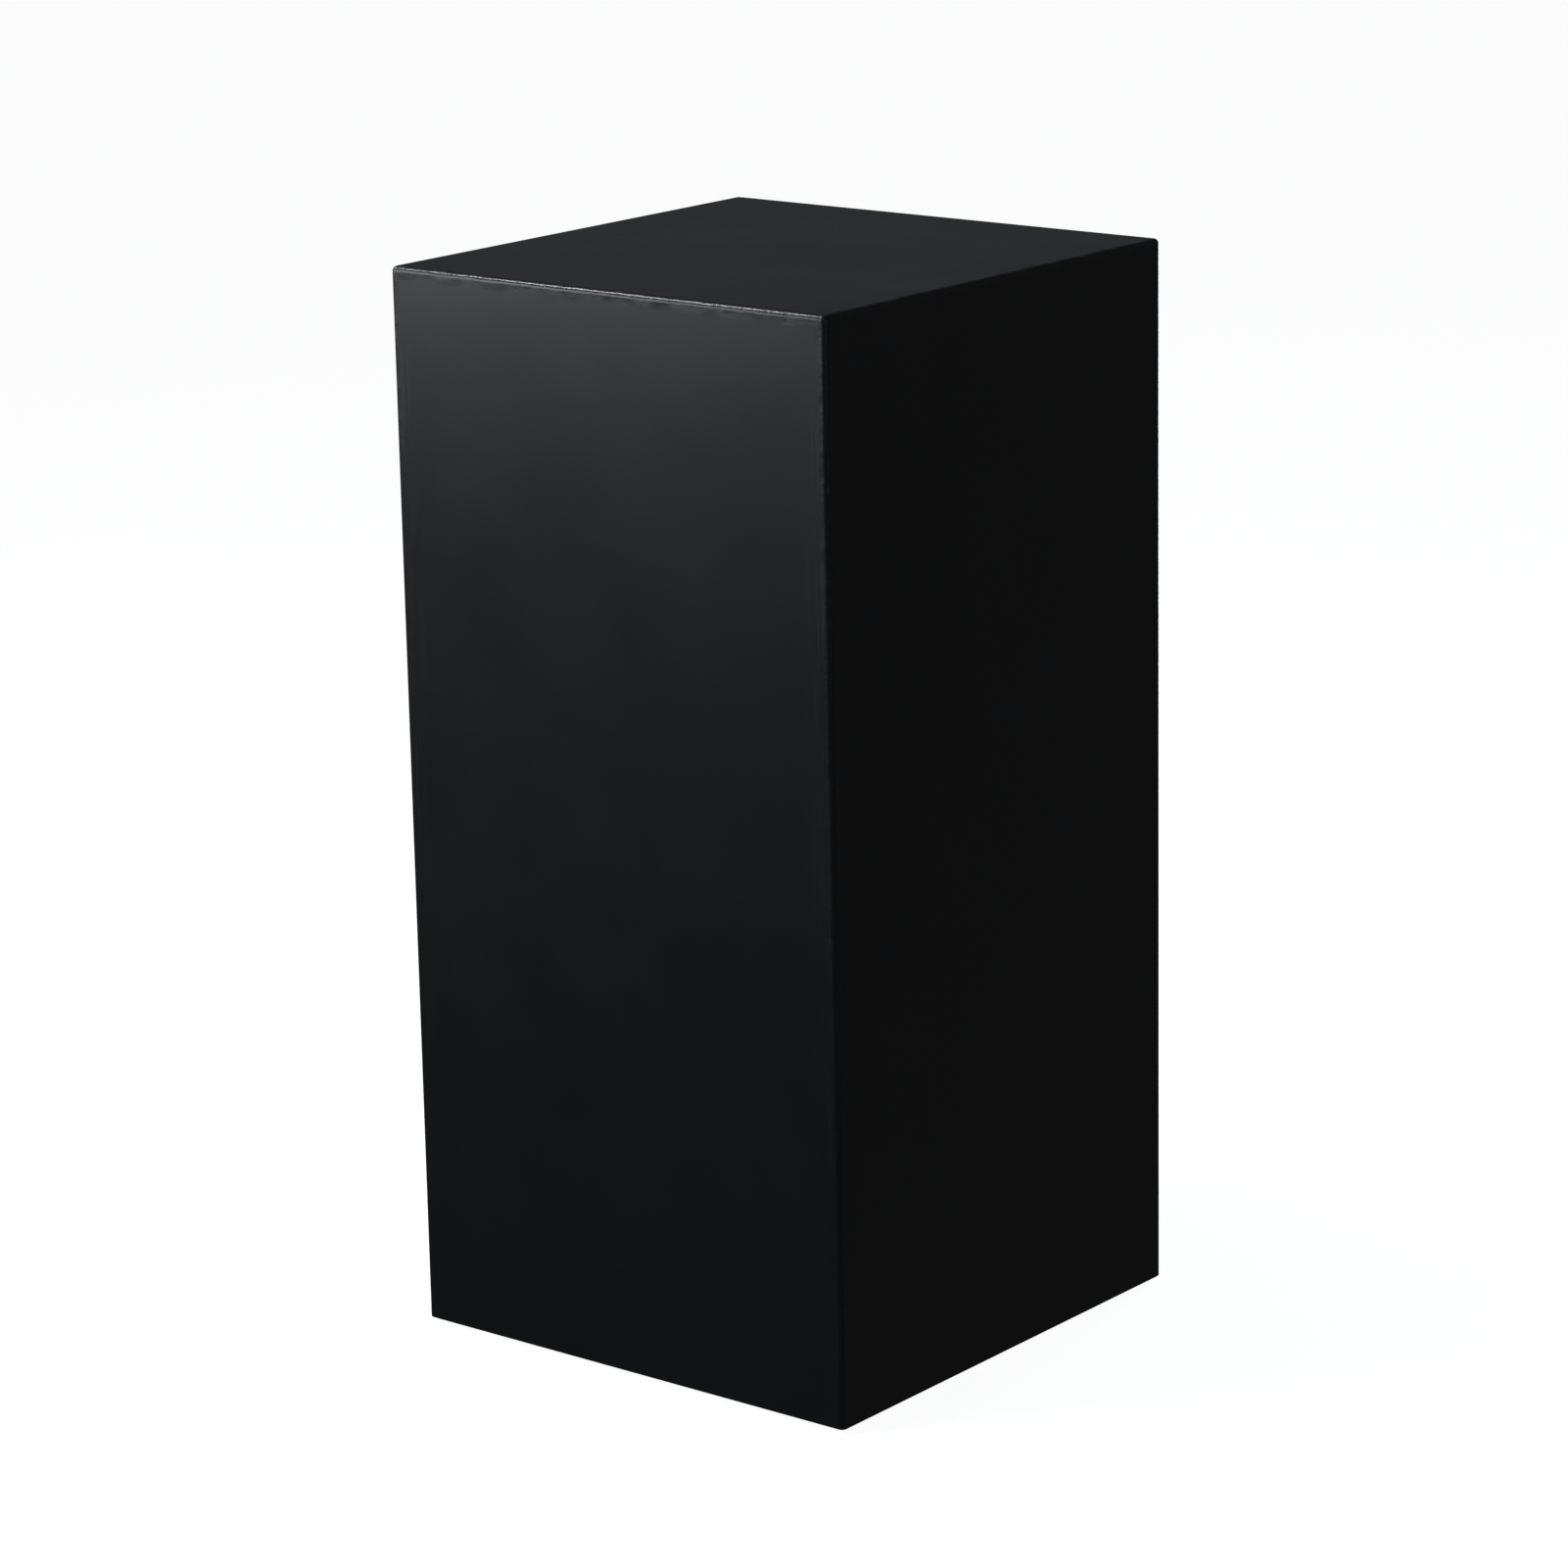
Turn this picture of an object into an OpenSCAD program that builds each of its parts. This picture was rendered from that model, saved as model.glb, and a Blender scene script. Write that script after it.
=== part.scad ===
// Square display plinth: a mitred, lacquered board case on a hidden inner frame,
// with a let-in base panel and four screw-adjusted levelling feet.
// Millimetres. +Z up, front towards -Y, origin on the floor under the middle.

/* [Case] */
// Outside width and depth of the square case
case_w = 300; // [290:5:400]
// Height of the case without its feet
case_h = 606; // [560:2:900]
// Thickness of the case boards
board_t = 18; // [18:1:20]
// Radius of the sanded outer edges
arris_r = 3; // [1:0.5:4]
// Height of the case's lower edge above the floor, feet wound in
foot_gap = 3; // [2:0.5:4]

/* [Inner frame] */
// Side of the square battens in the upright corners
batten_w = 27; // [24:1:30]
// Thickness of the rails that the base is screwed to
rail_t = 22; // [20:1:24]
// Height of the rails that the base is screwed to
rail_h = 28; // [28:1:34]
// Side of the square cleats under the top
top_cleat_w = 20; // [18:1:22]
// Side of the square cleats under the brace
brace_cleat_w = 18; // [18:1:20]
// Thickness of the brace that keeps the case square
brace_t = 12; // [9:1:15]
// Height of the brace's lower face above the floor
brace_z = 300; // [280:5:310]
// Diameter of the hole in the brace
brace_hole_d = 100; // [60:5:120]

/* [Base] */
// Thickness of the base panel
base_t = 18; // [18:1:21]
// Height of the base panel's lower face above the case's lower edge
base_recess = 13.5; // [13.5:0.5:16]
// Gap between the base panel's edges and the walls
base_gap = 0.5; // [0.2:0.1:1]
// Diameter of the access hole in the base panel
access_d = 100; // [60:5:110]

/* [Levelling feet] */
// Distance from the case's outer faces to a foot's axis
foot_inset = 55; // [54:1:58]
// Outside diameter of the foot's screw thread
thread_d = 8; // [6:1:8]
// Length of screw above the hexagon
thread_len = 35; // [32:1:40]
// Hexagon size across flats
hex_af = 13; // [10:1:13]
// Diameter of the foot's pad
pad_d = 32; // [28:1:36]
// Height of the foot's pad
pad_h = 10; // [9:0.5:10]

/* [Fasteners] */
// Outside diameter of the wood screws
screw_d = 4; // [3.5:0.5:4.5]
// Head diameter of the wood screws
screw_head_d = 8; // [7:0.5:8]
// Length of the joining biscuits
biscuit_len = 56; // [47:1:56]
// Thickness of the joining biscuits
biscuit_t = 4; // [3:0.5:4]
// Biscuits in each upright corner
biscuits_up = 4; // [3:1:5]

/* [Hidden] */
WALLS = ["front", "right", "back", "left"];
CORNERS = ["front_left", "front_right", "back_right", "back_left"];

// levels and half sizes of the case
half = case_w / 2;
inner = half - board_t;
top_z = foot_gap + case_h;
under_top = top_z - board_t;
base_z = foot_gap + base_recess;
base_top = base_z + base_t;
between = inner - batten_w;
round_fn = 48;

// colours
lacquer = "#1b1b1d";
pine = "#d8b684";
plywood = "#cda873";
beech = "#c99a63";
zinc = "#b9bdc2";
nylon = "#2a2a2c";

// biscuit joints
blade_r = 50;
slot_depth = 12;
biscuit_w = 23;
biscuit_slack = 0.1;
mitre_in = 12.5;
top_biscuit_x = half / 2.5;
biscuit_pitch = case_h / biscuits_up;

// screws
long_screw = 40;
rail_screw = 35;
cleat_screw = 30;
brace_screw = 25;
head_land = 0.6;
screw_slack = 0.05;
batten_screw_z = [for (i = [0:2]) foot_gap + case_h * (0.2 + 0.33 * i)];
batten_screw_step = 25;
base_screw_x = inner - 52;
rail_screw_x = inner - 102;
top_screw_x = inner - 52;
top_side_screw_x = inner - 97;
brace_screw_x = inner - 102;
brace_side_screw_x = inner - 72;

// levelling feet
foot_at = half - foot_inset;
flange_r = 11;
flange_t = 1.5;
barrel_r = thread_d / 2 + 0.75;
barrel_h = 11;
nut_gap = 0.05;
prong_at = 8.8;
prong_h = 6;
prong_w = 3;
prong_t = 1.2;
hex_top = base_z - flange_t - 0.2;
hex_bottom = pad_h + 0.3;
neck_r = 2.8;
ankle_r = 4.5;
ankle_h = 2.5;
ankle_z = 3.9;
swivel_gap = 0.06;
end_gap = 0.15;

// ---------- placing ----------

// turns a child made at the front wall, or at the front left corner, to place i
module turned(i) {
    rotate([0, 0, 90 * i]) children();
}

// a child at the foot of corner i
module at_foot(i) {
    turned(i) translate([-foot_at, -foot_at, 0]) children();
}

// points a screw that is drawn head up towards the front wall
module driven_out() {
    rotate([-90, 0, 0]) children();
}

// points a screw that is drawn head up straight up
module driven_up() {
    rotate([180, 0, 0]) children();
}

// local X runs into the front wall square to its left mitre, Y runs up the corner
module on_left_mitre() {
    for (i = [0:biscuits_up - 1])
        translate([-half + mitre_in, -half + mitre_in, foot_gap + biscuit_pitch * (i + 0.5)])
            rotate([0, 0, -45])
                rotate([90, 0, 0]) children();
}

// local X runs into the front wall square to its top mitre, Y runs along the edge
module on_top_mitre() {
    for (x = [-top_biscuit_x, top_biscuit_x])
        translate([x, -half + mitre_in, top_z - mitre_in])
            rotate([45, 0, 0])
                rotate([0, 0, -90]) children();
}

// ---------- shared shapes ----------

// countersunk wood screw, head at z = 0 and point downwards
module screw_shape(length, slack) {
    head_r = screw_head_d / 2 + slack;
    shank_r = screw_d / 2 + slack;
    rotate_extrude($fn = round_fn)
        polygon([
            [0, 0],
            [head_r, 0],
            [head_r, -head_land],
            [shank_r, -head_land - (head_r - shank_r)],
            [shank_r, -length + screw_d],
            [0, -length - slack]
        ]);
}

// cut of the biscuit blade; side is -1 into the wall, 1 into its neighbour
module biscuit_slot(side) {
    translate([side * (blade_r - slot_depth), 0, 0])
        cylinder(r = blade_r, h = biscuit_t + 2 * biscuit_slack, center = true, $fn = 96);
}

// pressed beech biscuit: two blade arcs with the tips cut off
module biscuit() {
    arc_at = blade_r - biscuit_w / 2;
    intersection() {
        translate([-arc_at, 0, 0]) cylinder(r = blade_r, h = biscuit_t, center = true, $fn = 96);
        translate([arc_at, 0, 0]) cylinder(r = blade_r, h = biscuit_t, center = true, $fn = 96);
        cube([blade_r, biscuit_len, 2 * biscuit_t], center = true);
    }
}

// upright outline of the case with its two upper corners rounded
module case_outline() {
    translate([-half, foot_gap]) square([case_w, case_h - arris_r]);
    translate([-half + arris_r, foot_gap]) square([case_w - 2 * arris_r, case_h]);
    for (side = [-1, 1])
        translate([side * (half - arris_r), top_z - arris_r]) circle(r = arris_r, $fn = round_fn);
}

// plan of the case with all four corners rounded
module case_plan() {
    square([case_w, case_w - 2 * arris_r], center = true);
    square([case_w - 2 * arris_r, case_w], center = true);
    for (x = [-1, 1], y = [-1, 1])
        translate([x * (half - arris_r), y * (half - arris_r)]) circle(r = arris_r, $fn = round_fn);
}

// outer form of the whole case with its rounded edges
module case_form() {
    intersection() {
        linear_extrude(height = top_z) case_plan();
        rotate([90, 0, 0]) linear_extrude(height = case_w, center = true) case_outline();
        rotate([90, 0, 90]) linear_extrude(height = case_w, center = true) case_outline();
    }
}

// ---------- screws by place, at the front wall ----------

// side -1 is the left batten of the wall, side 1 the right one
module at_batten_screws(side) {
    step = side < 0 ? 0 : batten_screw_step;
    for (z = batten_screw_z)
        translate([side * (inner - batten_w / 2), -between, z + step]) driven_out() children();
}

module at_rail_screws() {
    for (side = [-1, 1])
        translate([side * rail_screw_x, -inner + rail_t, base_top + rail_h / 2])
            driven_out() children();
}

module at_base_screws() {
    for (side = [-1, 1])
        translate([side * base_screw_x, -inner + rail_t / 2, base_z]) driven_up() children();
}

module at_top_screws() {
    for (side = [-1, 1])
        translate([side * top_screw_x, -inner + top_cleat_w / 2, under_top - top_cleat_w])
            driven_up() children();
}

module at_top_side_screws() {
    for (side = [-1, 1])
        translate([side * top_side_screw_x, -inner + top_cleat_w, under_top - top_cleat_w / 2])
            driven_out() children();
}

module at_brace_screws() {
    for (side = [-1, 1])
        translate([side * brace_screw_x, -inner + brace_cleat_w / 2, brace_z + brace_t]) children();
}

module at_brace_side_screws() {
    for (side = [-1, 1])
        translate([side * brace_side_screw_x, -inner + brace_cleat_w, brace_z - brace_cleat_w / 2])
            driven_out() children();
}

// ---------- case boards ----------

// wall i: mitred at both upright edges and at the top, cut for biscuits and screws
module wall_panel(i) {
    color(lacquer) turned(i) difference() {
        intersection() {
            case_form();
            linear_extrude(height = top_z)
                polygon([[-half, -half], [half, -half], [inner, -inner], [-inner, -inner]]);
            rotate([90, 0, 90])
                linear_extrude(height = case_w, center = true)
                    polygon([[-half, 0], [-inner, 0], [-inner, under_top], [-half, top_z]]);
        }
        on_left_mitre() biscuit_slot(-1);
        mirror([1, 0, 0]) on_left_mitre() biscuit_slot(-1);
        on_top_mitre() biscuit_slot(-1);
        for (side = [-1, 1]) at_batten_screws(side) screw_shape(long_screw, screw_slack);
        at_rail_screws() screw_shape(rail_screw, screw_slack);
        at_top_side_screws() screw_shape(cleat_screw, screw_slack);
        at_brace_side_screws() screw_shape(cleat_screw, screw_slack);
    }
}

// length of board with the section of the top panel, mitred along both sides
module top_mitres() {
    linear_extrude(height = case_w, center = true)
        polygon([[-inner, under_top], [inner, under_top], [half, top_z], [-half, top_z]]);
}

module top_panel() {
    color(lacquer) difference() {
        intersection() {
            case_form();
            rotate([90, 0, 0]) top_mitres();
            rotate([90, 0, 90]) top_mitres();
        }
        for (i = [0:3]) turned(i) on_top_mitre() biscuit_slot(1);
        for (i = [0:3]) turned(i) at_top_screws() screw_shape(cleat_screw, screw_slack);
    }
}

// ---------- inner frame ----------

// square batten glued and screwed into upright corner i
module corner_batten(i) {
    color(pine) turned(i) difference() {
        translate([-inner, -inner, base_top]) cube([batten_w, batten_w, under_top - base_top]);
        at_batten_screws(-1) screw_shape(long_screw, screw_slack);
        rotate([0, 0, -90]) at_batten_screws(1) screw_shape(long_screw, screw_slack);
    }
}

// rail along wall i that the base panel is screwed up into
module base_rail(i) {
    color(pine) turned(i) difference() {
        translate([-between, -inner, base_top]) cube([2 * between, rail_t, rail_h]);
        at_rail_screws() screw_shape(rail_screw, screw_slack);
        at_base_screws() screw_shape(long_screw, screw_slack);
    }
}

// cleat in the angle of wall i and the top panel
module top_cleat(i) {
    color(pine) turned(i) difference() {
        translate([-between, -inner, under_top - top_cleat_w])
            cube([2 * between, top_cleat_w, top_cleat_w]);
        at_top_screws() screw_shape(cleat_screw, screw_slack);
        at_top_side_screws() screw_shape(cleat_screw, screw_slack);
    }
}

// cleat along wall i that carries the brace
module brace_cleat(i) {
    color(pine) turned(i) difference() {
        translate([-between, -inner, brace_z - brace_cleat_w])
            cube([2 * between, brace_cleat_w, brace_cleat_w]);
        at_brace_screws() screw_shape(brace_screw, screw_slack);
        at_brace_side_screws() screw_shape(cleat_screw, screw_slack);
    }
}

// plywood plate notched round the battens, with a hole through the middle
module mid_brace() {
    side = 2 * (inner - base_gap);
    notch = batten_w + base_gap;
    color(plywood) difference() {
        translate([-side / 2, -side / 2, brace_z]) cube([side, side, brace_t]);
        for (x = [-1, 1], y = [-1, 1])
            translate([x * inner, y * inner, brace_z + brace_t / 2])
                cube([2 * notch, 2 * notch, 2 * brace_t], center = true);
        translate([0, 0, brace_z - brace_t])
            cylinder(d = brace_hole_d, h = 3 * brace_t, $fn = 96);
        for (i = [0:3]) turned(i) at_brace_screws() screw_shape(brace_screw, screw_slack);
    }
}

// plywood base with an access hole, foot holes and countersunk screw holes
module base_panel() {
    side = 2 * (inner - base_gap);
    color(plywood) difference() {
        translate([-side / 2, -side / 2, base_z]) cube([side, side, base_t]);
        translate([0, 0, base_z - base_t]) cylinder(d = access_d, h = 3 * base_t, $fn = 96);
        for (i = [0:3]) {
            at_foot(i) translate([0, 0, base_z - 1])
                cylinder(r = barrel_r + nut_gap, h = base_t + 2, $fn = round_fn);
            turned(i) at_base_screws() screw_shape(long_screw, screw_slack);
        }
    }
}

// ---------- biscuits and screws ----------

// beech biscuits of upright corner i
module corner_biscuits(i) {
    color(beech) turned(i) on_left_mitre() biscuit();
}

module top_biscuits() {
    color(beech) for (i = [0:3]) turned(i) on_top_mitre() biscuit();
}

module base_screws() {
    color(zinc) for (i = [0:3]) turned(i) at_base_screws() screw_shape(long_screw, 0);
}

module base_rail_screws() {
    color(zinc) for (i = [0:3]) turned(i) at_rail_screws() screw_shape(rail_screw, 0);
}

module batten_screws() {
    color(zinc) for (i = [0:3], side = [-1, 1])
        turned(i) at_batten_screws(side) screw_shape(long_screw, 0);
}

module top_cleat_screws() {
    color(zinc) for (i = [0:3]) {
        turned(i) at_top_screws() screw_shape(cleat_screw, 0);
        turned(i) at_top_side_screws() screw_shape(cleat_screw, 0);
    }
}

module brace_cleat_screws() {
    color(zinc) for (i = [0:3]) turned(i) at_brace_side_screws() screw_shape(cleat_screw, 0);
}

module brace_screws() {
    color(zinc) for (i = [0:3]) turned(i) at_brace_screws() screw_shape(brace_screw, 0);
}

// ---------- levelling feet ----------

// pronged nut pressed up into the base panel; its plain bore stands for the thread
module tee_nut(i) {
    bore_r = thread_d / 2 + nut_gap;
    color(zinc) at_foot(i) union() {
        rotate_extrude($fn = round_fn)
            polygon([
                [bore_r, base_z - flange_t],
                [flange_r, base_z - flange_t],
                [flange_r, base_z],
                [barrel_r, base_z],
                [barrel_r, base_z + barrel_h],
                [bore_r, base_z + barrel_h]
            ]);
        for (turn = [0:3])
            rotate([0, 0, 90 * turn])
                translate([prong_at, -prong_w / 2, base_z - flange_t / 2])
                    cube([prong_t, prong_w, prong_h + flange_t / 2]);
    }
}

// foot screw: plain shaft for the thread, hexagon, neck and the ankle held in the pad
module foot_stem(i) {
    thread_r = thread_d / 2;
    tip = 1;
    color(zinc) at_foot(i) union() {
        rotate_extrude($fn = round_fn)
            polygon([
                [0, ankle_z],
                [ankle_r, ankle_z],
                [ankle_r, ankle_z + ankle_h],
                [neck_r, ankle_z + ankle_h],
                [neck_r, hex_bottom + tip],
                [thread_r, hex_bottom + tip],
                [thread_r, hex_top + thread_len - tip],
                [thread_r - tip, hex_top + thread_len],
                [0, hex_top + thread_len]
            ]);
        translate([0, 0, hex_bottom])
            cylinder(d = hex_af / cos(30), h = hex_top - hex_bottom, $fn = 6);
    }
}

// moulded pad that the foot screw turns in
module foot_pad(i) {
    pad_r = pad_d / 2;
    edge = 1;
    shoulder = pad_h / 2;
    collar_r = pad_r * 0.6;
    color(nylon) at_foot(i)
        rotate_extrude($fn = 96)
            polygon([
                [0, 0],
                [pad_r - edge, 0],
                [pad_r, edge],
                [pad_r, shoulder],
                [collar_r, pad_h],
                [neck_r + swivel_gap, pad_h],
                [neck_r + swivel_gap, ankle_z + ankle_h + end_gap],
                [ankle_r + swivel_gap, ankle_z + ankle_h + end_gap],
                [ankle_r + swivel_gap, ankle_z - end_gap],
                [0, ankle_z - end_gap]
            ]);
}

for (i = [0:3]) {
    wall_panel(i);
    corner_batten(i);
    base_rail(i);
    top_cleat(i);
    brace_cleat(i);
    corner_biscuits(i);
    tee_nut(i);
    foot_stem(i);
    foot_pad(i);
}
top_panel();
base_panel();
mid_brace();
top_biscuits();
base_screws();
base_rail_screws();
batten_screws();
top_cleat_screws();
brace_cleat_screws();
brace_screws();
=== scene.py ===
import math

import bmesh
import bpy
from bpy.props import FloatProperty, FloatVectorProperty, IntProperty, PointerProperty
from mathutils import Matrix, Vector


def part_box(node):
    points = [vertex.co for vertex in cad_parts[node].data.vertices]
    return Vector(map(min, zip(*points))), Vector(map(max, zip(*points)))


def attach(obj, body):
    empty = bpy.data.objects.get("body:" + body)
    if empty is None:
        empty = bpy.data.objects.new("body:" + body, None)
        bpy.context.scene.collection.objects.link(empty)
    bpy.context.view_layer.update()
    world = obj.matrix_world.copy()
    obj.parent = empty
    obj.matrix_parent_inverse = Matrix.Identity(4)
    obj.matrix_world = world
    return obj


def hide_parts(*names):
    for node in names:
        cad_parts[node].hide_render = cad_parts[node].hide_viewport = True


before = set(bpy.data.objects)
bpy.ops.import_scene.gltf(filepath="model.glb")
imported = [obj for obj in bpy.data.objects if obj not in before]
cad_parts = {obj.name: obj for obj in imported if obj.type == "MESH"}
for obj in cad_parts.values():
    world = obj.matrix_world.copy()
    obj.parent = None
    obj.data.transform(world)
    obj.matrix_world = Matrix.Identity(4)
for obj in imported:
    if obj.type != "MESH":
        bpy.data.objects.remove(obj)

bl_info = {
    "name": "Display Plinth",
    "version": (1, 0, 0),
    "blender": (4, 5, 0),
    "location": "3D View > Sidebar > Plinth",
    "description": "Builds a lacquered display plinth with its frame, base and levelling feet",
    "category": "Object",
}

WALLS = ("front", "right", "back", "left")
CORNERS = ("front_left", "front_right", "back_right", "back_left")
MM = 0.001
MERGE_GAP = 1e-6
NEAR = MM / 100  # how close counts as lying on a level
QUARTER = math.pi / 2
SMOOTH_UNDER = math.radians(30)  # edges that turn more than this stay sharp
UP, DOWN = Vector((0.0, 0.0, 1.0)), Vector((0.0, 0.0, -1.0))

# levels and half sizes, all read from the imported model
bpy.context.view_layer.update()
WALL_LOW, WALL_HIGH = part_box("front_panel")
TOP_LOW, TOP_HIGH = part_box("top_panel")
HALF = -WALL_LOW.y
BOARD = TOP_HIGH.z - TOP_LOW.z
CASE_LOW = WALL_LOW.z
CASE_TOP = TOP_HIGH.z
CASE_HEIGHT = CASE_TOP - CASE_LOW
CASE_MIDDLE = Vector((0.0, 0.0, (CASE_LOW + CASE_TOP) / 2))
PAD_LOW, PAD_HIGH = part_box("foot_pad_front_left")
STEM_LOW, STEM_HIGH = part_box("foot_stem_front_left")
NUT_LOW, NUT_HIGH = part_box("tee_nut_front_left")
BASE_LOW, BASE_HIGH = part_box("base_panel")
FOOT_AXIS = Vector(((PAD_LOW.x + PAD_HIGH.x) / 2, (PAD_LOW.y + PAD_HIGH.y) / 2, 0.0))

SCREW_LENGTHS = {
    "base_screws": 40,
    "base_rail_screws": 35,
    "batten_screws": 40,
    "top_cleat_screws": 30,
    "brace_cleat_screws": 30,
    "brace_screws": 25,
}
BASE_PLIES, BRACE_PLIES = 13, 9
# flats round each turned piece and each hole, and steps in one turn of a thread
SCREW_SIDES, NUT_SIDES, STEM_SIDES, PAD_SIDES, CHAMFER_SIDES = 24, 64, 48, 96, 96
HOLE_SIDES, BORE_SIDES = 96, 48
SCREW_THREAD_STEPS, FOOT_THREAD_STEPS = 12, 32
# distance between growth rings
PINE_RING, BEECH_RING = 0.0028, 0.0012
BISCUIT_NODES = (*(f"corner_biscuits_{corner}" for corner in CORNERS), "top_biscuits")


# ---------------------------------------------------------------- settings


def length_setting(name, description, default):
    return FloatProperty(
        name=name, description=description, default=default, unit="LENGTH", precision=5
    )


def angle_setting(name, description, degrees):
    return FloatProperty(
        name=name, description=description, subtype="ANGLE", default=math.radians(degrees)
    )


def number_setting(name, description, default, **limits):
    return FloatProperty(name=name, description=description, default=default, **limits)


def colour_setting(name, description, default):
    return FloatVectorProperty(
        name=name, description=description, subtype="COLOR", size=4, min=0.0, max=1.0,
        default=(*default, 1.0),
    )


def factor_setting(name, description, default):
    return FloatProperty(
        name=name, description=description, subtype="FACTOR", default=default, min=0.0, max=1.0
    )


class PlinthCaseSettings(bpy.types.PropertyGroup):
    arris: length_setting("Outer edge radius", "Radius sanded on the outer edges", 0.003)
    arris_steps: IntProperty(
        name="Edge steps", description="Flats in each rounded edge", default=12, min=2, max=16
    )
    lower_ease: length_setting("Lower edge ease", "Ease on the lower edges of the walls", 0.0007)
    board_ease: length_setting("Board edge ease", "Ease on the edges of base and brace", 0.0008)
    hole_chamfer: length_setting("Hole chamfer", "Chamfer round the access holes", 0.0015)
    timber_ease: length_setting("Timber edge ease", "Rounding on the planed timber", 0.001)
    access_hole: length_setting("Access hole", "Diameter of the hole in the base", 0.1)
    brace_hole: length_setting("Brace hole", "Diameter of the hole in the brace", 0.1)
    nut_hole: length_setting("Nut hole", "Diameter of the holes for the tee nuts", 0.0096)


class PlinthFootSettings(bpy.types.PropertyGroup):
    thread_radius: length_setting("Thread radius", "Outer radius of the foot's thread", 0.004)
    thread_root: length_setting("Thread root", "Radius at the root of the foot's thread", 0.0033)
    thread_pitch: length_setting("Thread pitch", "Rise of the foot's thread in one turn", 0.00125)
    hexagon_across: length_setting("Hexagon", "Size across the hexagon's flats", 0.013)
    hexagon_ease: length_setting("Hexagon chamfer", "Height of the hexagon's chamfer", 0.0007)
    neck_radius: length_setting("Neck radius", "Radius of the neck over the ankle", 0.0028)
    ankle_radius: length_setting("Ankle radius", "Radius of the ankle in the pad", 0.0045)
    ankle_height: length_setting("Ankle height", "Height of the ankle in the pad", 0.0025)
    swivel_gap: length_setting("Swivel gap", "Gap round neck and ankle", 0.00006)
    pad_gap: length_setting("Pad gap", "Gap between pad and hexagon", 0.0003)
    nut_gap: length_setting("Nut gap", "Gap between hexagon and tee nut", 0.0002)
    tread_groove: length_setting("Tread depth", "Depth of the grooves under the pad", 0.0005)
    barrel_radius: length_setting("Nut barrel radius", "Radius of the tee nut's barrel", 0.00475)
    barrel_height: length_setting("Nut barrel height", "Height of the tee nut's barrel", 0.011)
    flange_radius: length_setting("Nut flange radius", "Radius of the tee nut's flange", 0.011)
    prong_in: length_setting("Prong inside", "Distance of a prong's inside from the axis", 0.0088)
    prong_out: length_setting("Prong outside", "Distance of a prong's outside from the axis", 0.010)
    prong_width: length_setting("Prong width", "Width of a prong at its root", 0.003)
    prong_height: length_setting("Prong height", "How far a prong runs into the base", 0.006)


class PlinthScrewSettings(bpy.types.PropertyGroup):
    head_radius: length_setting("Head radius", "Radius of the wood screws' heads", 0.004)
    head_land: length_setting("Head land", "Straight rim of the wood screws' heads", 0.0006)
    shank_radius: length_setting("Shank radius", "Outer radius of the wood screws", 0.002)
    root: length_setting("Screw root", "Radius at the root of the wood screws' thread", 0.00135)
    pitch: length_setting("Screw pitch", "Rise of the wood screws' thread in one turn", 0.0018)
    recess_width: length_setting("Recess width", "Width across the cross recess", 0.0042)
    recess_depth: length_setting("Recess depth", "Depth of the cross recess", 0.0019)
    thread_share: factor_setting("Threaded share", "Part of a screw's length that is threaded", 0.6)
    stop_step: angle_setting("Stop step", "Turn from one stopped screw to the next", 37)


class PlinthFinishSettings(bpy.types.PropertyGroup):
    lacquer: colour_setting("Lacquer", "Colour of the satin lacquer", (0.0100, 0.0103, 0.0112))
    lacquer_roughness: factor_setting("Lacquer roughness", "Mean roughness of the lacquer", 0.38)
    raw_board: colour_setting("Raw board", "Colour of the unpainted fibreboard", (0.33, 0.22, 0.13))
    pine_pale: colour_setting("Pine, early wood", "Pale part of the rings", (0.68, 0.49, 0.27))
    pine_dark: colour_setting("Pine, late wood", "Dark part of the rings", (0.47, 0.27, 0.12))
    birch_pale: colour_setting("Birch, pale", "Pale part of the veneer", (0.66, 0.49, 0.31))
    birch_dark: colour_setting("Birch, dark", "Dark part of the veneer", (0.45, 0.29, 0.16))
    beech_pale: colour_setting("Beech, pale", "Pale part of the biscuits", (0.55, 0.34, 0.20))
    beech_dark: colour_setting("Beech, dark", "Dark flecks of the biscuits", (0.33, 0.18, 0.09))
    zinc: colour_setting("Zinc plating", "Colour of the plated steel", (0.60, 0.62, 0.65))
    zinc_tint: colour_setting("Zinc tint", "Colour of thicker plating", (0.62, 0.59, 0.49))
    nylon: colour_setting("Nylon", "Colour of the moulded pads", (0.016, 0.016, 0.017))


class PlinthStageSettings(bpy.types.PropertyGroup):
    azimuth: angle_setting("Azimuth", "Camera's turn from straight in front to the right", 38.81)
    elevation: angle_setting("Elevation", "Camera's tilt down from the horizon", 14.75)
    roll: angle_setting("Roll", "Camera's turn about its own line of sight", -1.08)
    distance: number_setting("Distance", "Camera's distance in heights of the case", 4.892)
    aside: number_setting("Aside", "Camera's offset to its right in heights of the case", -0.004)
    above: number_setting("Above", "Camera's offset upwards in heights of the case", 0.003)
    lens: number_setting("Lens", "Focal length in millimetres", 121.2)
    brightness: number_setting("Brightness", "Multiplies every softbox's power", 1.0, min=0.0)


# ---------------------------------------------------------------- mesh helpers


def deselect_all():
    if bpy.context.object and bpy.context.object.mode != "OBJECT":
        bpy.ops.object.mode_set(mode="OBJECT")
    bpy.ops.object.select_all(action="DESELECT")


def make_active(obj):
    deselect_all()
    obj.select_set(True)
    bpy.context.view_layer.objects.active = obj


def edit(obj, kind=None, action="SELECT"):
    """Opens a piece in edit mode with all of it selected, or none of it."""
    make_active(obj)
    bpy.ops.object.mode_set(mode="EDIT")
    if kind:
        bpy.ops.mesh.select_mode(type=kind)
    bpy.ops.mesh.select_all(action=action)


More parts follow.
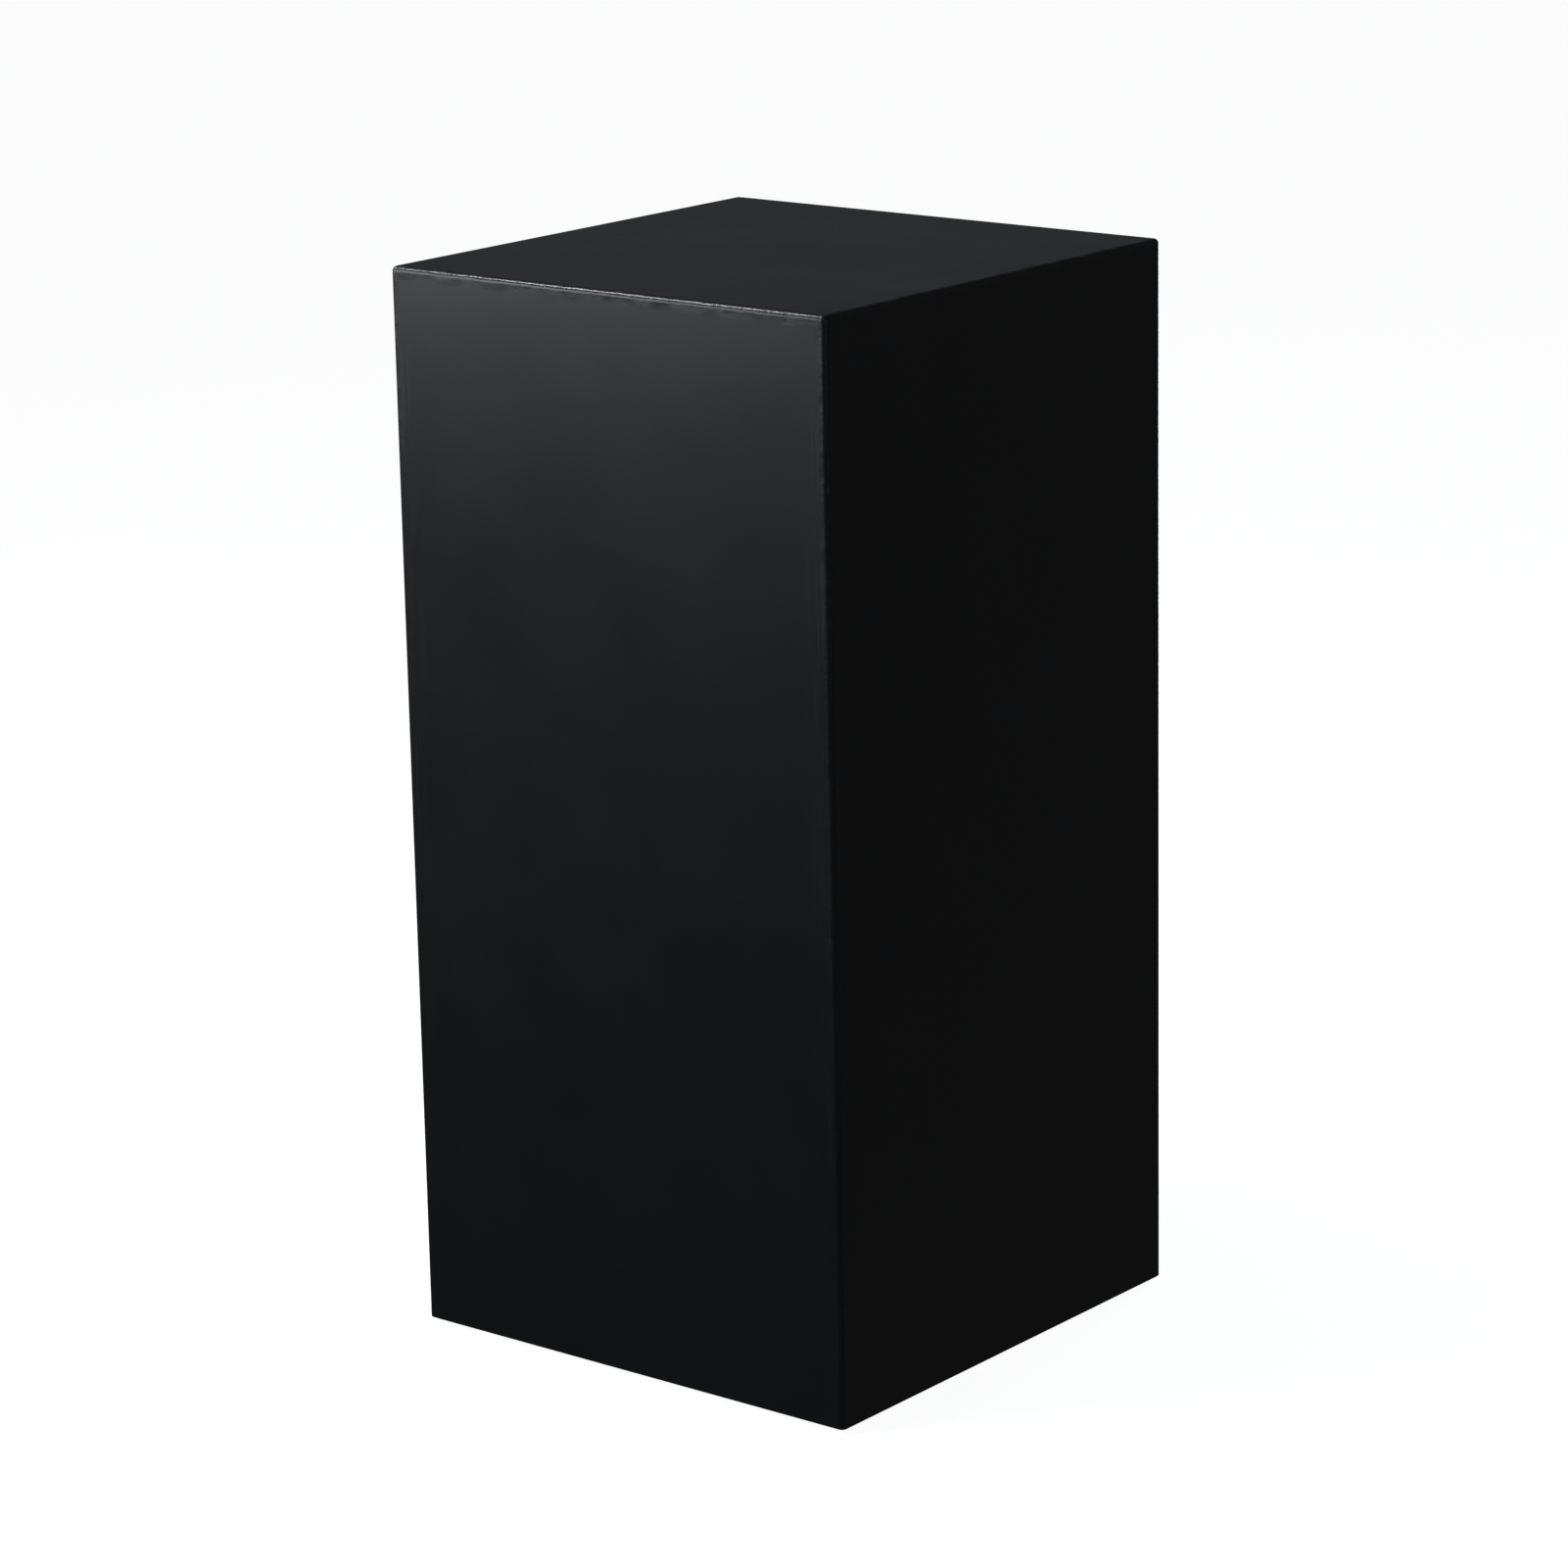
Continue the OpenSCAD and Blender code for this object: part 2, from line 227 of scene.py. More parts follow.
def leave_edit():
    bpy.ops.object.mode_set(mode="OBJECT")


def drop(*objects):
    for obj in objects:
        bpy.data.objects.remove(obj)


def own_copy(obj, name):
    """A copy with its own mesh."""
    copied = obj.copy()
    copied.data = obj.data.copy()
    copied.name = copied.data.name = name
    bpy.context.scene.collection.objects.link(copied)
    return copied


def quarter_turns(turn, size=4):
    return Matrix.Rotation(turn * QUARTER, size, "Z")


def quarter_turn_copy(obj, name, turn):
    """A copy turned about the case's middle by that many quarter turns."""
    copied = own_copy(obj, name)
    copied.data.transform(quarter_turns(turn))
    return copied


def add_cuboid(name, low, high):
    deselect_all()
    low, high = Vector(low), Vector(high)
    bpy.ops.mesh.primitive_cube_add(size=1.0, location=(low + high) / 2, scale=high - low)
    bpy.ops.object.transform_apply(location=True, rotation=True, scale=True)
    cuboid = bpy.context.object
    cuboid.name = name
    return cuboid


def add_rod(name, centre, radius, height, sides, turn=0.0):
    deselect_all()
    bpy.ops.mesh.primitive_cylinder_add(
        vertices=sides, radius=radius, depth=height, location=centre, rotation=(0.0, 0.0, turn)
    )
    bpy.ops.object.transform_apply(location=True, rotation=True, scale=True)
    rod = bpy.context.object
    rod.name = name
    return rod


def ease_edges(obj, wanted, width, steps):
    """Bevels the edges for which wanted(first point, second point) is true."""
    edit(obj, "EDGE", "DESELECT")
    mesh = bmesh.from_edit_mesh(obj.data)
    for edge in mesh.edges:
        edge.select_set(wanted(edge.verts[0].co, edge.verts[1].co))
    bmesh.update_edit_mesh(obj.data)
    bpy.ops.mesh.bevel(
        offset=width, offset_type="OFFSET", segments=steps, profile=0.5, clamp_overlap=False
    )
    leave_edit()


def bisect_keep(obj, point, outward):
    """Cuts a closed mesh with a plane, drops what lies on the outward side and closes the cut."""
    edit(obj)
    bpy.ops.mesh.bisect(
        plane_co=point, plane_no=outward, use_fill=True, clear_outer=True, threshold=MERGE_GAP
    )
    leave_edit()


def merge_and_face_out(obj):
    edit(obj)
    bpy.ops.mesh.remove_doubles(threshold=MERGE_GAP)
    bpy.ops.mesh.dissolve_degenerate(threshold=MERGE_GAP)
    bpy.ops.mesh.normals_make_consistent(inside=False)
    leave_edit()


def combine(obj, tool, operation):
    """Boolean of a piece with a tool, which is used up."""
    make_active(obj)
    modifier = obj.modifiers.new("Combine", "BOOLEAN")
    modifier.operation = operation
    modifier.solver = "EXACT"
    modifier.object = tool
    bpy.ops.object.modifier_apply(modifier=modifier.name)
    drop(tool)


def join_all(name, pieces):
    deselect_all()
    for piece in pieces:
        piece.select_set(True)
    bpy.context.view_layer.objects.active = pieces[0]
    if len(pieces) > 1:
        bpy.ops.object.join()
    pieces[0].name = pieces[0].data.name = name
    return pieces[0]


def trace(name, points):
    """Edges through points (radius, height), drawn in the XZ plane by extruding a vertex."""
    deselect_all()
    bpy.ops.mesh.primitive_plane_add(size=MM)
    obj = bpy.context.object
    obj.name = name
    edit(obj, "VERT")
    bpy.ops.mesh.merge(type="CENTER")
    bpy.ops.transform.translate(value=(points[0][0], 0.0, points[0][1]))
    for (near_r, near_z), (far_r, far_z) in zip(points, points[1:]):
        step = {"value": (far_r - near_r, 0.0, far_z - near_z)}
        bpy.ops.mesh.extrude_region_move(TRANSFORM_OT_translate=step)
    leave_edit()
    return obj


def turned_piece(name, points, sides):
    """A solid of revolution about Z from a traced half section."""
    obj = trace(name, points)
    edit(obj)
    bpy.ops.mesh.spin(steps=sides, angle=2 * math.pi, center=(0.0, 0.0, 0.0), axis=(0.0, 0.0, 1.0))
    leave_edit()
    merge_and_face_out(obj)
    return obj


def threaded_rod(name, root, crest, pitch, low, high, steps):
    """A rod with a helical thread from one traced pitch, cut square at both ends."""
    start = low - 2 * pitch
    section = ((root, 0.0), (root, 0.25), (crest, 0.5625), (crest, 0.6875), (root, 1.0))
    obj = trace(name, [(radius, start + share * pitch) for radius, share in section])
    screw = obj.modifiers.new("Thread", "SCREW")
    screw.axis = "Z"
    screw.screw_offset = pitch
    screw.steps = screw.render_steps = steps
    screw.iterations = math.ceil((high - low) / pitch) + 4
    bpy.ops.object.modifier_apply(modifier=screw.name)
    merge_and_face_out(obj)
    bisect_keep(obj, (0.0, 0.0, low), DOWN)
    bisect_keep(obj, (0.0, 0.0, high), UP)
    merge_and_face_out(obj)
    return obj


def narrow_end(obj, level, factors):
    """Scales the end of a solid that lies at a level, about that end's own middle."""
    edit(obj, "VERT", "DESELECT")
    mesh = bmesh.from_edit_mesh(obj.data)
    end = [vertex for vertex in mesh.verts if abs(vertex.co.z - level) < NEAR]
    for vertex in end:
        vertex.select_set(True)
    middle = sum((vertex.co for vertex in end), Vector()) / len(end)
    bmesh.update_edit_mesh(obj.data)
    bpy.ops.transform.resize(value=factors, center_override=middle)
    leave_edit()


def at_corners(pattern, name):
    """Sets copies of a piece drawn at the origin on the four feet; returns each with its corner."""
    pattern.data.transform(Matrix.Translation(FOOT_AXIS))
    pieces = [
        (quarter_turn_copy(pattern, f"{name}_{corner}", turn), corner)
        for turn, corner in enumerate(CORNERS)
    ]
    drop(pattern)
    return pieces


def finish_piece(obj, material, body, slot, *nodes):
    obj.data.materials.clear()
    obj.data.materials.append(material)
    make_active(obj)
    bpy.ops.object.shade_smooth_by_angle(angle=SMOOTH_UNDER)
    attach(obj, body)
    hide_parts(*nodes)


# ---------------------------------------------------------------- joinery read from the model


def merged_copy(node, name):
    """A modelling copy of a carried-over solid, with its loose triangles joined up."""
    copied = own_copy(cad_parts[node], name)
    copied.parent = None
    copied.data.materials.clear()
    merge_and_face_out(copied)
    return copied


def loose_parts(obj):
    """Splits a mesh into its separate shells."""
    edit(obj)
    bpy.ops.mesh.separate(type="LOOSE")
    leave_edit()
    return list(bpy.context.selected_objects)


def mesh_box(obj):
    points = [vertex.co for vertex in obj.data.vertices]
    low = Vector(min(p[axis] for p in points) for axis in range(3))
    high = Vector(max(p[axis] for p in points) for axis in range(3))
    return low, high


def screw_place(tool):
    """Matrix that puts a screw drawn head up at the origin where a carried-over screw is."""
    low, high = mesh_box(tool)
    size = high - low
    axis = max(range(3), key=lambda i: size[i])
    middle = (low + high) / 2
    at_low = sum(abs(vertex.co[axis] - low[axis]) < NEAR for vertex in tool.data.vertices)
    at_high = sum(abs(vertex.co[axis] - high[axis]) < NEAR for vertex in tool.data.vertices)
    head_up = at_high > at_low
    head = middle.copy()
    head[axis] = (high if head_up else low)[axis]
    towards_head = Vector((0.0, 0.0, 0.0))
    towards_head[axis] = 1.0 if head_up else -1.0
    return Matrix.Translation(head) @ towards_head.to_track_quat("Z", "Y").to_matrix().to_4x4()


JOINERY_TOOLS = {}


def joinery():
    """Every screw and biscuit of the model as a tool of its own, by node, with its box."""
    if not JOINERY_TOOLS:
        for node in (*SCREW_LENGTHS, *BISCUIT_NODES):
            parts = sorted(loose_parts(merged_copy(node, f"{node}_tool")), key=lambda o: o.name)
            JOINERY_TOOLS[node] = [(part, *mesh_box(part)) for part in parts]
    return JOINERY_TOOLS


def put_tools_away():
    for group in JOINERY_TOOLS.values():
        drop(*(part for part, _, _ in group))
    JOINERY_TOOLS.clear()


def cut_joinery(obj, tools):
    """Cuts the screws and biscuits that run into a piece out of it."""
    low, high = mesh_box(obj)
    hits = [
        own_copy(part, "cutter")
        for group in tools.values()
        for part, part_low, part_high in group
        if all(part_low[i] < high[i] and part_high[i] > low[i] for i in range(3))
    ]
    if hits:
        combine(obj, join_all("cutter", hits), "DIFFERENCE")


# ---------------------------------------------------------------- shader helpers


def add_node(tree, kind, inputs=None, **settings):
    """Adds a node with its input values by socket name, and its settings by property name."""
    node = tree.nodes.new(kind)
    for name, value in settings.items():
        setattr(node, name, value)
    for name, value in (inputs or {}).items():
        put(tree, value, node.inputs[name])
    return node


def put(tree, value, socket):
    """Links a socket to another one, or sets its value."""
    if isinstance(value, bpy.types.NodeSocket):
        tree.links.new(value, socket)
    else:
        socket.default_value = value


def math_node(tree, operation, first, second=0.0, clamp=False):
    node = add_node(tree, "ShaderNodeMath", operation=operation, use_clamp=clamp)
    put(tree, first, node.inputs[0])
    put(tree, second, node.inputs[1])
    return node.outputs[0]


def add_up(tree, *values):
    total = values[0]
    for value in values[1:]:
        total = math_node(tree, "ADD", total, value)
    return total


def times(tree, first, second):
    return math_node(tree, "MULTIPLY", first, second)


def less(tree, first, second):
    return math_node(tree, "SUBTRACT", first, second)


def map_range(tree, value, low, high, to_low=0.0, to_high=1.0):
    inputs = {
        "Value": value, "From Min": low, "From Max": high, "To Min": to_low, "To Max": to_high
    }
    return add_node(tree, "ShaderNodeMapRange", inputs).outputs["Result"]


def noise(tree, vector, scale, detail=2.0, roughness=0.5):
    inputs = {"Vector": vector, "Scale": scale, "Detail": detail, "Roughness": roughness}
    return add_node(tree, "ShaderNodeTexNoise", inputs).outputs["Fac"]


def stretched(tree, vector, scale, rotation=(0.0, 0.0, 0.0)):
    """Turns a pattern on the piece and stretches it along an axis where the scale is small."""
    inputs = {"Vector": vector, "Rotation": rotation, "Scale": scale}
    return add_node(tree, "ShaderNodeMapping", inputs).outputs["Vector"]


def blend_colours(tree, share, first, second, blend_type="MIX"):
    node = add_node(tree, "ShaderNodeMix", data_type="RGBA", blend_type=blend_type)
    put(tree, share, node.inputs[0])
    put(tree, first, node.inputs[6])
    put(tree, second, node.inputs[7])
    return node.outputs[2]


def place_on_piece(tree):
    return add_node(tree, "ShaderNodeTexCoord").outputs["Object"]


def split(tree, vector):
    return add_node(tree, "ShaderNodeSeparateXYZ", {"Vector": vector}).outputs


def add_bump(tree, shader, height):
    """Raises the surface by a height that is given in millimetres."""
    bump = add_node(tree, "ShaderNodeBump", {"Height": height, "Strength": 1.0, "Distance": MM})
    tree.links.new(bump.outputs["Normal"], shader.inputs["Normal"])


def new_material(name):
    material = bpy.data.materials.new(name)
    material.use_nodes = True
    return material, material.node_tree, material.node_tree.nodes["Principled BSDF"]


def shader_group(name, inputs, outputs, fill):
    """A shader node group that is built once; fill(tree, inputs) returns its outputs in order."""
    if name not in bpy.data.node_groups:
        tree = bpy.data.node_groups.new(name, "ShaderNodeTree")
        for socket_name, kind, default in inputs:
            socket = tree.interface.new_socket(socket_name, in_out="INPUT", socket_type=kind)
            if default is not None:
                socket.default_value = default
        for socket_name, kind in outputs:
            tree.interface.new_socket(socket_name, in_out="OUTPUT", socket_type=kind)
        group_in, group_out = tree.nodes.new("NodeGroupInput"), tree.nodes.new("NodeGroupOutput")
        for value, socket in zip(fill(tree, group_in.outputs), group_out.inputs):
            put(tree, value, socket)
    return bpy.data.node_groups[name]


def use_group(tree, group, inputs):
    node = tree.nodes.new("ShaderNodeGroup")
    node.node_tree = group
    for name, value in inputs.items():
        put(tree, value, node.inputs[name])
    return node.outputs


# ---------------------------------------------------------------- shader groups

NUMBER, COLOUR, VECTOR = "NodeSocketFloat", "NodeSocketColor", "NodeSocketVector"


def case_edge_nearness(tree, reach):
    """1 on the outer edges of the case, falling to 0 at Reach; the same for upright edges alone."""

    def fill(tree, given):
        x, y, z = split(tree, place_on_piece(tree))
        gap_x = less(tree, HALF, math_node(tree, "ABSOLUTE", x))
        gap_y = less(tree, HALF, math_node(tree, "ABSOLUTE", y))
        gap_z = less(tree, CASE_TOP, z)
        # the middle one of the three gaps is the distance from the nearest edge
        low_pair = math_node(tree, "MINIMUM", gap_x, gap_y)
        high_pair = math_node(tree, "MAXIMUM", gap_x, gap_y)
        middle = math_node(tree, "MAXIMUM", low_pair, math_node(tree, "MINIMUM", high_pair, gap_z))
        return tuple(
            math_node(tree, "SUBTRACT", 1.0, math_node(tree, "DIVIDE", gap, given["Reach"]), True)
            for gap in (middle, high_pair)
        )

    outputs = [("Nearness", NUMBER), ("Upright Nearness", NUMBER)]
    group = shader_group("Case Edge Nearness", [("Reach", NUMBER, 0.006)], outputs, fill)
    return use_group(tree, group, {"Reach": reach})


def soft_clouds(tree, vector, scale):
    """Slow uneven patches from 0 to 1, as left by handling or an uneven coat."""

    def fill(tree, given):
        coarse = noise(tree, given["Vector"], given["Scale"], detail=4.0, roughness=0.55)
        return (map_range(tree, coarse, 0.32, 0.68),)

    inputs = [("Vector", VECTOR, None), ("Scale", NUMBER, 12.0)]
    group = shader_group("Soft Clouds", inputs, [("Clouds", NUMBER)], fill)
    return use_group(tree, group, {"Vector": vector, "Scale": scale})["Clouds"]


def fine_scratches(tree, vector, scale):
    """Thin hairlines that run in four directions."""
    directions = (0.35, 1.2, 2.05, 2.8)

    def fill(tree, given):
        lines = 0.0
        for index, angle in enumerate(directions):
            turn = (angle, 0.7 * index, angle + 0.4)
            along = stretched(tree, given["Vector"], (0.035, 1.0, 1.0), turn)
            streaks = noise(tree, along, given["Scale"], detail=1.0)
            hairline = map_range(tree, streaks, given["Threshold"], 0.80)
            lines = math_node(tree, "MAXIMUM", lines, hairline)
        return (lines,)

    inputs = [("Vector", VECTOR, None), ("Scale", NUMBER, 900.0), ("Threshold", NUMBER, 0.72)]
    group = shader_group("Fine Scratches", inputs, [("Lines", NUMBER)], fill)
    return use_group(tree, group, {"Vector": vector, "Scale": scale})["Lines"]


def timber_grain():
    """Growth rings and fibres that run along the X of the given vector."""

    def fill(tree, given):
        place = given["Vector"]
        sway = noise(tree, stretched(tree, place, (2.0, 9.0, 9.0)), 1.0, detail=3.0)
        across = split(tree, place)
        radius = add_node(tree, "ShaderNodeVectorMath", operation="LENGTH")
        offset = add_node(tree, "ShaderNodeCombineXYZ", {"X": 0.0})
        put(tree, math_node(tree, "ADD", across["Y"], given["Heart"]), offset.inputs["Y"])
        put(tree, across["Z"], offset.inputs["Z"])
        put(tree, offset.outputs[0], radius.inputs[0])
        swayed = math_node(tree, "ADD", radius.outputs["Value"], times(tree, sway, given["Sway"]))
        turns = math_node(tree, "DIVIDE", swayed, given["Ring"])
        phase = math_node(tree, "FRACT", turns)
        # a ring darkens slowly through the year and ends sharply
        rise = math_node(tree, "POWER", phase, 2.2)
        ring = times(tree, rise, map_range(tree, phase, 1.0, 0.9))
        fibre_place = stretched(tree, place, (0.03, 1.0, 1.0))
        fibres = noise(tree, fibre_place, 1600.0, detail=3.0, roughness=0.6)
        pores = map_range(tree, noise(tree, fibre_place, 900.0, detail=1.0), 0.66, 0.78)
        share = add_up(tree, times(tree, ring, 0.75), times(tree, fibres, 0.35), -0.12)
        share = math_node(tree, "ADD", share, times(tree, pores, 0.25), clamp=True)
        colour = blend_colours(tree, share, given["Pale"], given["Dark"])
        height = add_up(tree, times(tree, ring, 0.02), times(tree, fibres, 0.03))
        height = less(tree, height, times(tree, pores, 0.03))
        return colour, map_range(tree, share, 0.0, 1.0, 0.62, 0.5), height

    inputs = [
        ("Vector", VECTOR, None),
        ("Pale", COLOUR, (0.7, 0.5, 0.3, 1.0)),
        ("Dark", COLOUR, (0.45, 0.28, 0.13, 1.0)),
        ("Ring", NUMBER, 0.003),
        ("Sway", NUMBER, 0.004),
        ("Heart", NUMBER, 0.05),
    ]
    outputs = [("Color", COLOUR), ("Roughness", NUMBER), ("Height", NUMBER)]
    return shader_group("Timber Grain", inputs, outputs, fill)


# ---------------------------------------------------------------- materials


def black_lacquer(finish):
    """Satin black lacquer: slight sprayed texture, cloudy sheen, uneven hand-rubbed edges."""
    material, tree, shader = new_material("Satin Black Lacquer")
    shader.inputs["IOR"].default_value = 1.5
    place = place_on_piece(tree)
    clouds = soft_clouds(tree, place, 14.0)
    specks = map_range(tree, noise(tree, place, 1500.0, detail=0.0), 0.80, 0.86)
    scratches = fine_scratches(tree, place, 700.0)
    edge = case_edge_nearness(tree, 0.007)["Nearness"]
    arris = case_edge_nearness(tree, 0.0035)["Nearness"]
    uprights = case_edge_nearness(tree, 0.020)["Upright Nearness"]
    patches = map_range(tree, noise(tree, place, 75.0, detail=3.0), 0.38, 0.62)
    rubbed = times(tree, arris, math_node(tree, "ADD", 0.4, times(tree, patches, 0.6)))
    drawn = noise(tree, stretched(tree, place, (1.0, 1.0, 0.02)), 700.0, detail=1.0)
    strokes = times(tree, uprights, map_range(tree, drawn, 0.5, 0.68))

    worn = add_up(tree, times(tree, rubbed, 0.35), times(tree, specks, 0.5))
    worn = math_node(tree, "ADD", worn, times(tree, clouds, 0.10), clamp=True)
    rub_colour = tuple(3.0 * part for part in finish.lacquer[:3]) + (1.0,)
    put(tree, blend_colours(tree, worn, finish.lacquer[:], rub_colour), shader.inputs["Base Color"])

    satin = finish.lacquer_roughness
    sheen = map_range(tree, clouds, 0.0, 1.0, satin - 0.02, satin + 0.02)
    sheen = less(tree, sheen, times(tree, rubbed, 0.20))
    sheen = add_up(tree, sheen, times(tree, specks, 0.2), times(tree, scratches, 0.05))
    put(tree, math_node(tree, "ADD", sheen, times(tree, strokes, 0.12)), shader.inputs["Roughness"])

    peel = times(tree, noise(tree, place, 420.0, detail=2.0), 0.010)
    waves = less(tree, noise(tree, place, 75.0, detail=3.0), 0.5)
    wander = times(tree, edge, times(tree, waves, 1.40))
    sanded = times(tree, edge, times(tree, noise(tree, place, 700.0, detail=1.0), 0.015))
    lines = less(tree, times(tree, strokes, 0.02), times(tree, scratches, 0.002))
    add_bump(tree, shader, add_up(tree, peel, wander, sanded, lines))
    return material


def raw_fibreboard(finish):
    """Unpainted inside of the boards, with pressed fibres and a little overspray."""
    material, tree, shader = new_material("Raw Fibreboard")
    place = place_on_piece(tree)
    fibres = noise(tree, place, 1100.0, detail=4.0, roughness=0.7)
    clouds = soft_clouds(tree, place, 25.0)
    strands = fine_scratches(tree, place, 500.0)
    share = add_up(tree, times(tree, fibres, 0.8), times(tree, clouds, 0.25), -0.2)
    share = math_node(tree, "ADD", share, times(tree, strands, 0.2), clamp=True)
    dark = tuple(0.62 * part for part in finish.raw_board[:3]) + (1.0,)
    colour = blend_colours(tree, share, finish.raw_board[:], dark)
    put(tree, colour, shader.inputs["Base Color"])
    put(tree, map_range(tree, clouds, 0.0, 1.0, 0.78, 0.9), shader.inputs["Roughness"])
    add_bump(tree, shader, times(tree, fibres, 0.04))
    return material


def sawn_timber(name, pale, dark, ring, turn, sway=0.004):
    """Timber whose grain runs along X, turned to run along the piece."""
    material, tree, shader = new_material(name)
    place = stretched(tree, place_on_piece(tree), (1.0, 1.0, 1.0), turn)
    clouds = soft_clouds(tree, place, 18.0)
    given = {"Vector": place, "Pale": pale[:], "Dark": dark[:], "Ring": ring, "Sway": sway}
    grain = use_group(tree, timber_grain(), given)
    soiled = blend_colours(
        tree, times(tree, clouds, 0.18), grain["Color"], (0.5, 0.42, 0.33, 1.0), "MULTIPLY"
    )
    put(tree, soiled, shader.inputs["Base Color"])
    put(tree, grain["Roughness"], shader.inputs["Roughness"])
    add_bump(tree, shader, grain["Height"])
    return material


def birch_plywood(name, finish, low, high, plies):
    """Veneer grain on the faces and the stacked plies on every sawn edge and hole wall."""
    material, tree, shader = new_material(name)
    place = place_on_piece(tree)
    figure = tuple((pale + dark) / 2 for pale, dark in zip(finish.birch_pale, finish.birch_dark))
    given = {"Vector": place, "Pale": finish.birch_pale[:], "Dark": figure,
             "Ring": 0.024, "Sway": 0.09, "Heart": 0.4}
    veneer = use_group(tree, timber_grain(), given)
    height = split(tree, place)["Z"]
    level = times(tree, less(tree, height, low), plies / (high - low))
    wander = times(tree, noise(tree, place, 90.0, detail=1.0), 0.25)
    level = math_node(tree, "ADD", level, wander)
    phase = math_node(tree, "FRACT", times(tree, level, 0.5))
    cross_ply = math_node(tree, "GREATER_THAN", phase, 0.5)
    glue = map_range(tree, math_node(tree, "PINGPONG", level, 0.5), 0.07, 0.02)
    fibres = noise(tree, stretched(tree, place, (1.0, 1.0, 6.0)), 500.0, detail=3.0)
    share = add_up(tree, times(tree, cross_ply, 0.55), times(tree, fibres, 0.35))
    edge_colour = blend_colours(tree, share, finish.birch_pale[:], finish.birch_dark[:])
    edge_colour = blend_colours(tree, times(tree, glue, 0.75), edge_colour, (0.12, 0.07, 0.04, 1.0))
    facing = split(tree, add_node(tree, "ShaderNodeTexCoord").outputs["Normal"])["Z"]
    on_face = math_node(tree, "GREATER_THAN", math_node(tree, "ABSOLUTE", facing), 0.8)
    colour = blend_colours(tree, on_face, edge_colour, veneer["Color"])
    put(tree, colour, shader.inputs["Base Color"])
    clouds = soft_clouds(tree, place, 9.0)
    put(tree, map_range(tree, clouds, 0.0, 1.0, 0.55, 0.7), shader.inputs["Roughness"])
    rough_edge = times(tree, fibres, 0.05)
    smooth_face = times(tree, veneer["Height"], on_face)
    add_bump(tree, shader, add_up(tree, rough_edge, smooth_face))
    return material


def zinc_plate(name, finish):
    """Bright zinc plating with slightly tinted patches, fine scratches and dull spots."""
    material, tree, shader = new_material(name)
    place = place_on_piece(tree)
    clouds = soft_clouds(tree, place, 130.0)
    scratches = fine_scratches(tree, place, 1500.0)
    grit = noise(tree, place, 3500.0, detail=2.0)
    colour = blend_colours(tree, clouds, finish.zinc[:], finish.zinc_tint[:])
    put(tree, colour, shader.inputs["Base Color"])
    put(tree, map_range(tree, math_node(tree, "MAXIMUM", clouds, scratches), 0.0, 1.0, 0.27, 0.44),
        shader.inputs["Roughness"])
    put(tree, map_range(tree, clouds, 0.0, 1.0, 1.0, 0.92), shader.inputs["Metallic"])
    add_bump(tree, shader, add_up(tree, times(tree, grit, 0.006), times(tree, scratches, -0.01)))
    return material


def moulded_nylon(finish):
    """Black moulded nylon with a spark-eroded texture and scuffs near the floor."""
    material, tree, shader = new_material("Moulded Nylon")
    place = place_on_piece(tree)
    grain = noise(tree, place, 2600.0, detail=2.0)
    clouds = soft_clouds(tree, place, 90.0)
    scuffs = fine_scratches(tree, place, 1300.0)
    low_down = map_range(tree, split(tree, place)["Z"], 0.003, 0.0)
    dusty = times(tree, low_down, 0.25)
    dusty = math_node(tree, "ADD", dusty, times(tree, scuffs, 0.4), clamp=True)
    put(tree, blend_colours(tree, dusty, finish.nylon[:], (0.07, 0.068, 0.063, 1.0)),
        shader.inputs["Base Color"])
    put(tree, map_range(tree, clouds, 0.0, 1.0, 0.42, 0.56), shader.inputs["Roughness"])
    add_bump(tree, shader, add_up(tree, times(tree, grain, 0.02), times(tree, scuffs, -0.01)))
    return material


# ---------------------------------------------------------------- the case


def rounded_block(case):
    """The case as one solid block with its outer edges rounded, still uncut."""
    block = add_cuboid("block", (-HALF, -HALF, CASE_LOW), (HALF, HALF, CASE_TOP))
    level = case.lower_ease / 2

    def outer_edge(a, b):
        return max(a.z, b.z) > CASE_TOP - level

    def lower_edge(a, b):
        return max(a.z, b.z) < CASE_LOW + level

    ease_edges(block, outer_edge, case.arris, case.arris_steps)
    ease_edges(block, lower_edge, case.lower_ease, 2)
    return block


def mitre_planes(turn):
    """Point and outward normal of each plane that cuts one wall out of the case."""
    spin = quarter_turns(turn, 3)
    planes = (
        (Vector((-HALF, -HALF, 0.0)), Vector((-1.0, 1.0, 0.0))),
        (Vector((HALF, -HALF, 0.0)), Vector((1.0, 1.0, 0.0))),
        (Vector((0.0, -HALF, CASE_TOP)), Vector((0.0, 1.0, 1.0))),
        (Vector((0.0, -HALF + BOARD, 0.0)), Vector((0.0, 1.0, 0.0))),
    )
    return [(spin @ point, (spin @ normal).normalized()) for point, normal in planes]


def true_arris_normals(board, case):
    """Sets the exact normals of the rounded outside, so that no joint shows in the shading."""
    reach = HALF - case.arris
    top = CASE_TOP - case.arris
    mesh = board.data
    normals = [corner.vector.copy() for corner in mesh.corner_normals]
    for face in mesh.polygons:
        if face.material_index == 0 and face.center.z > CASE_LOW + case.lower_ease:
            for corner in face.loop_indices:
                point = mesh.vertices[mesh.loops[corner].vertex_index].co
                core = Vector(
                    (
                        min(max(point.x, -reach), reach),
                        min(max(point.y, -reach), reach),
                        min(point.z, top),
                    )
                )
                normals[corner] = (point - core).normalized()
    mesh.normals_split_custom_set(normals)


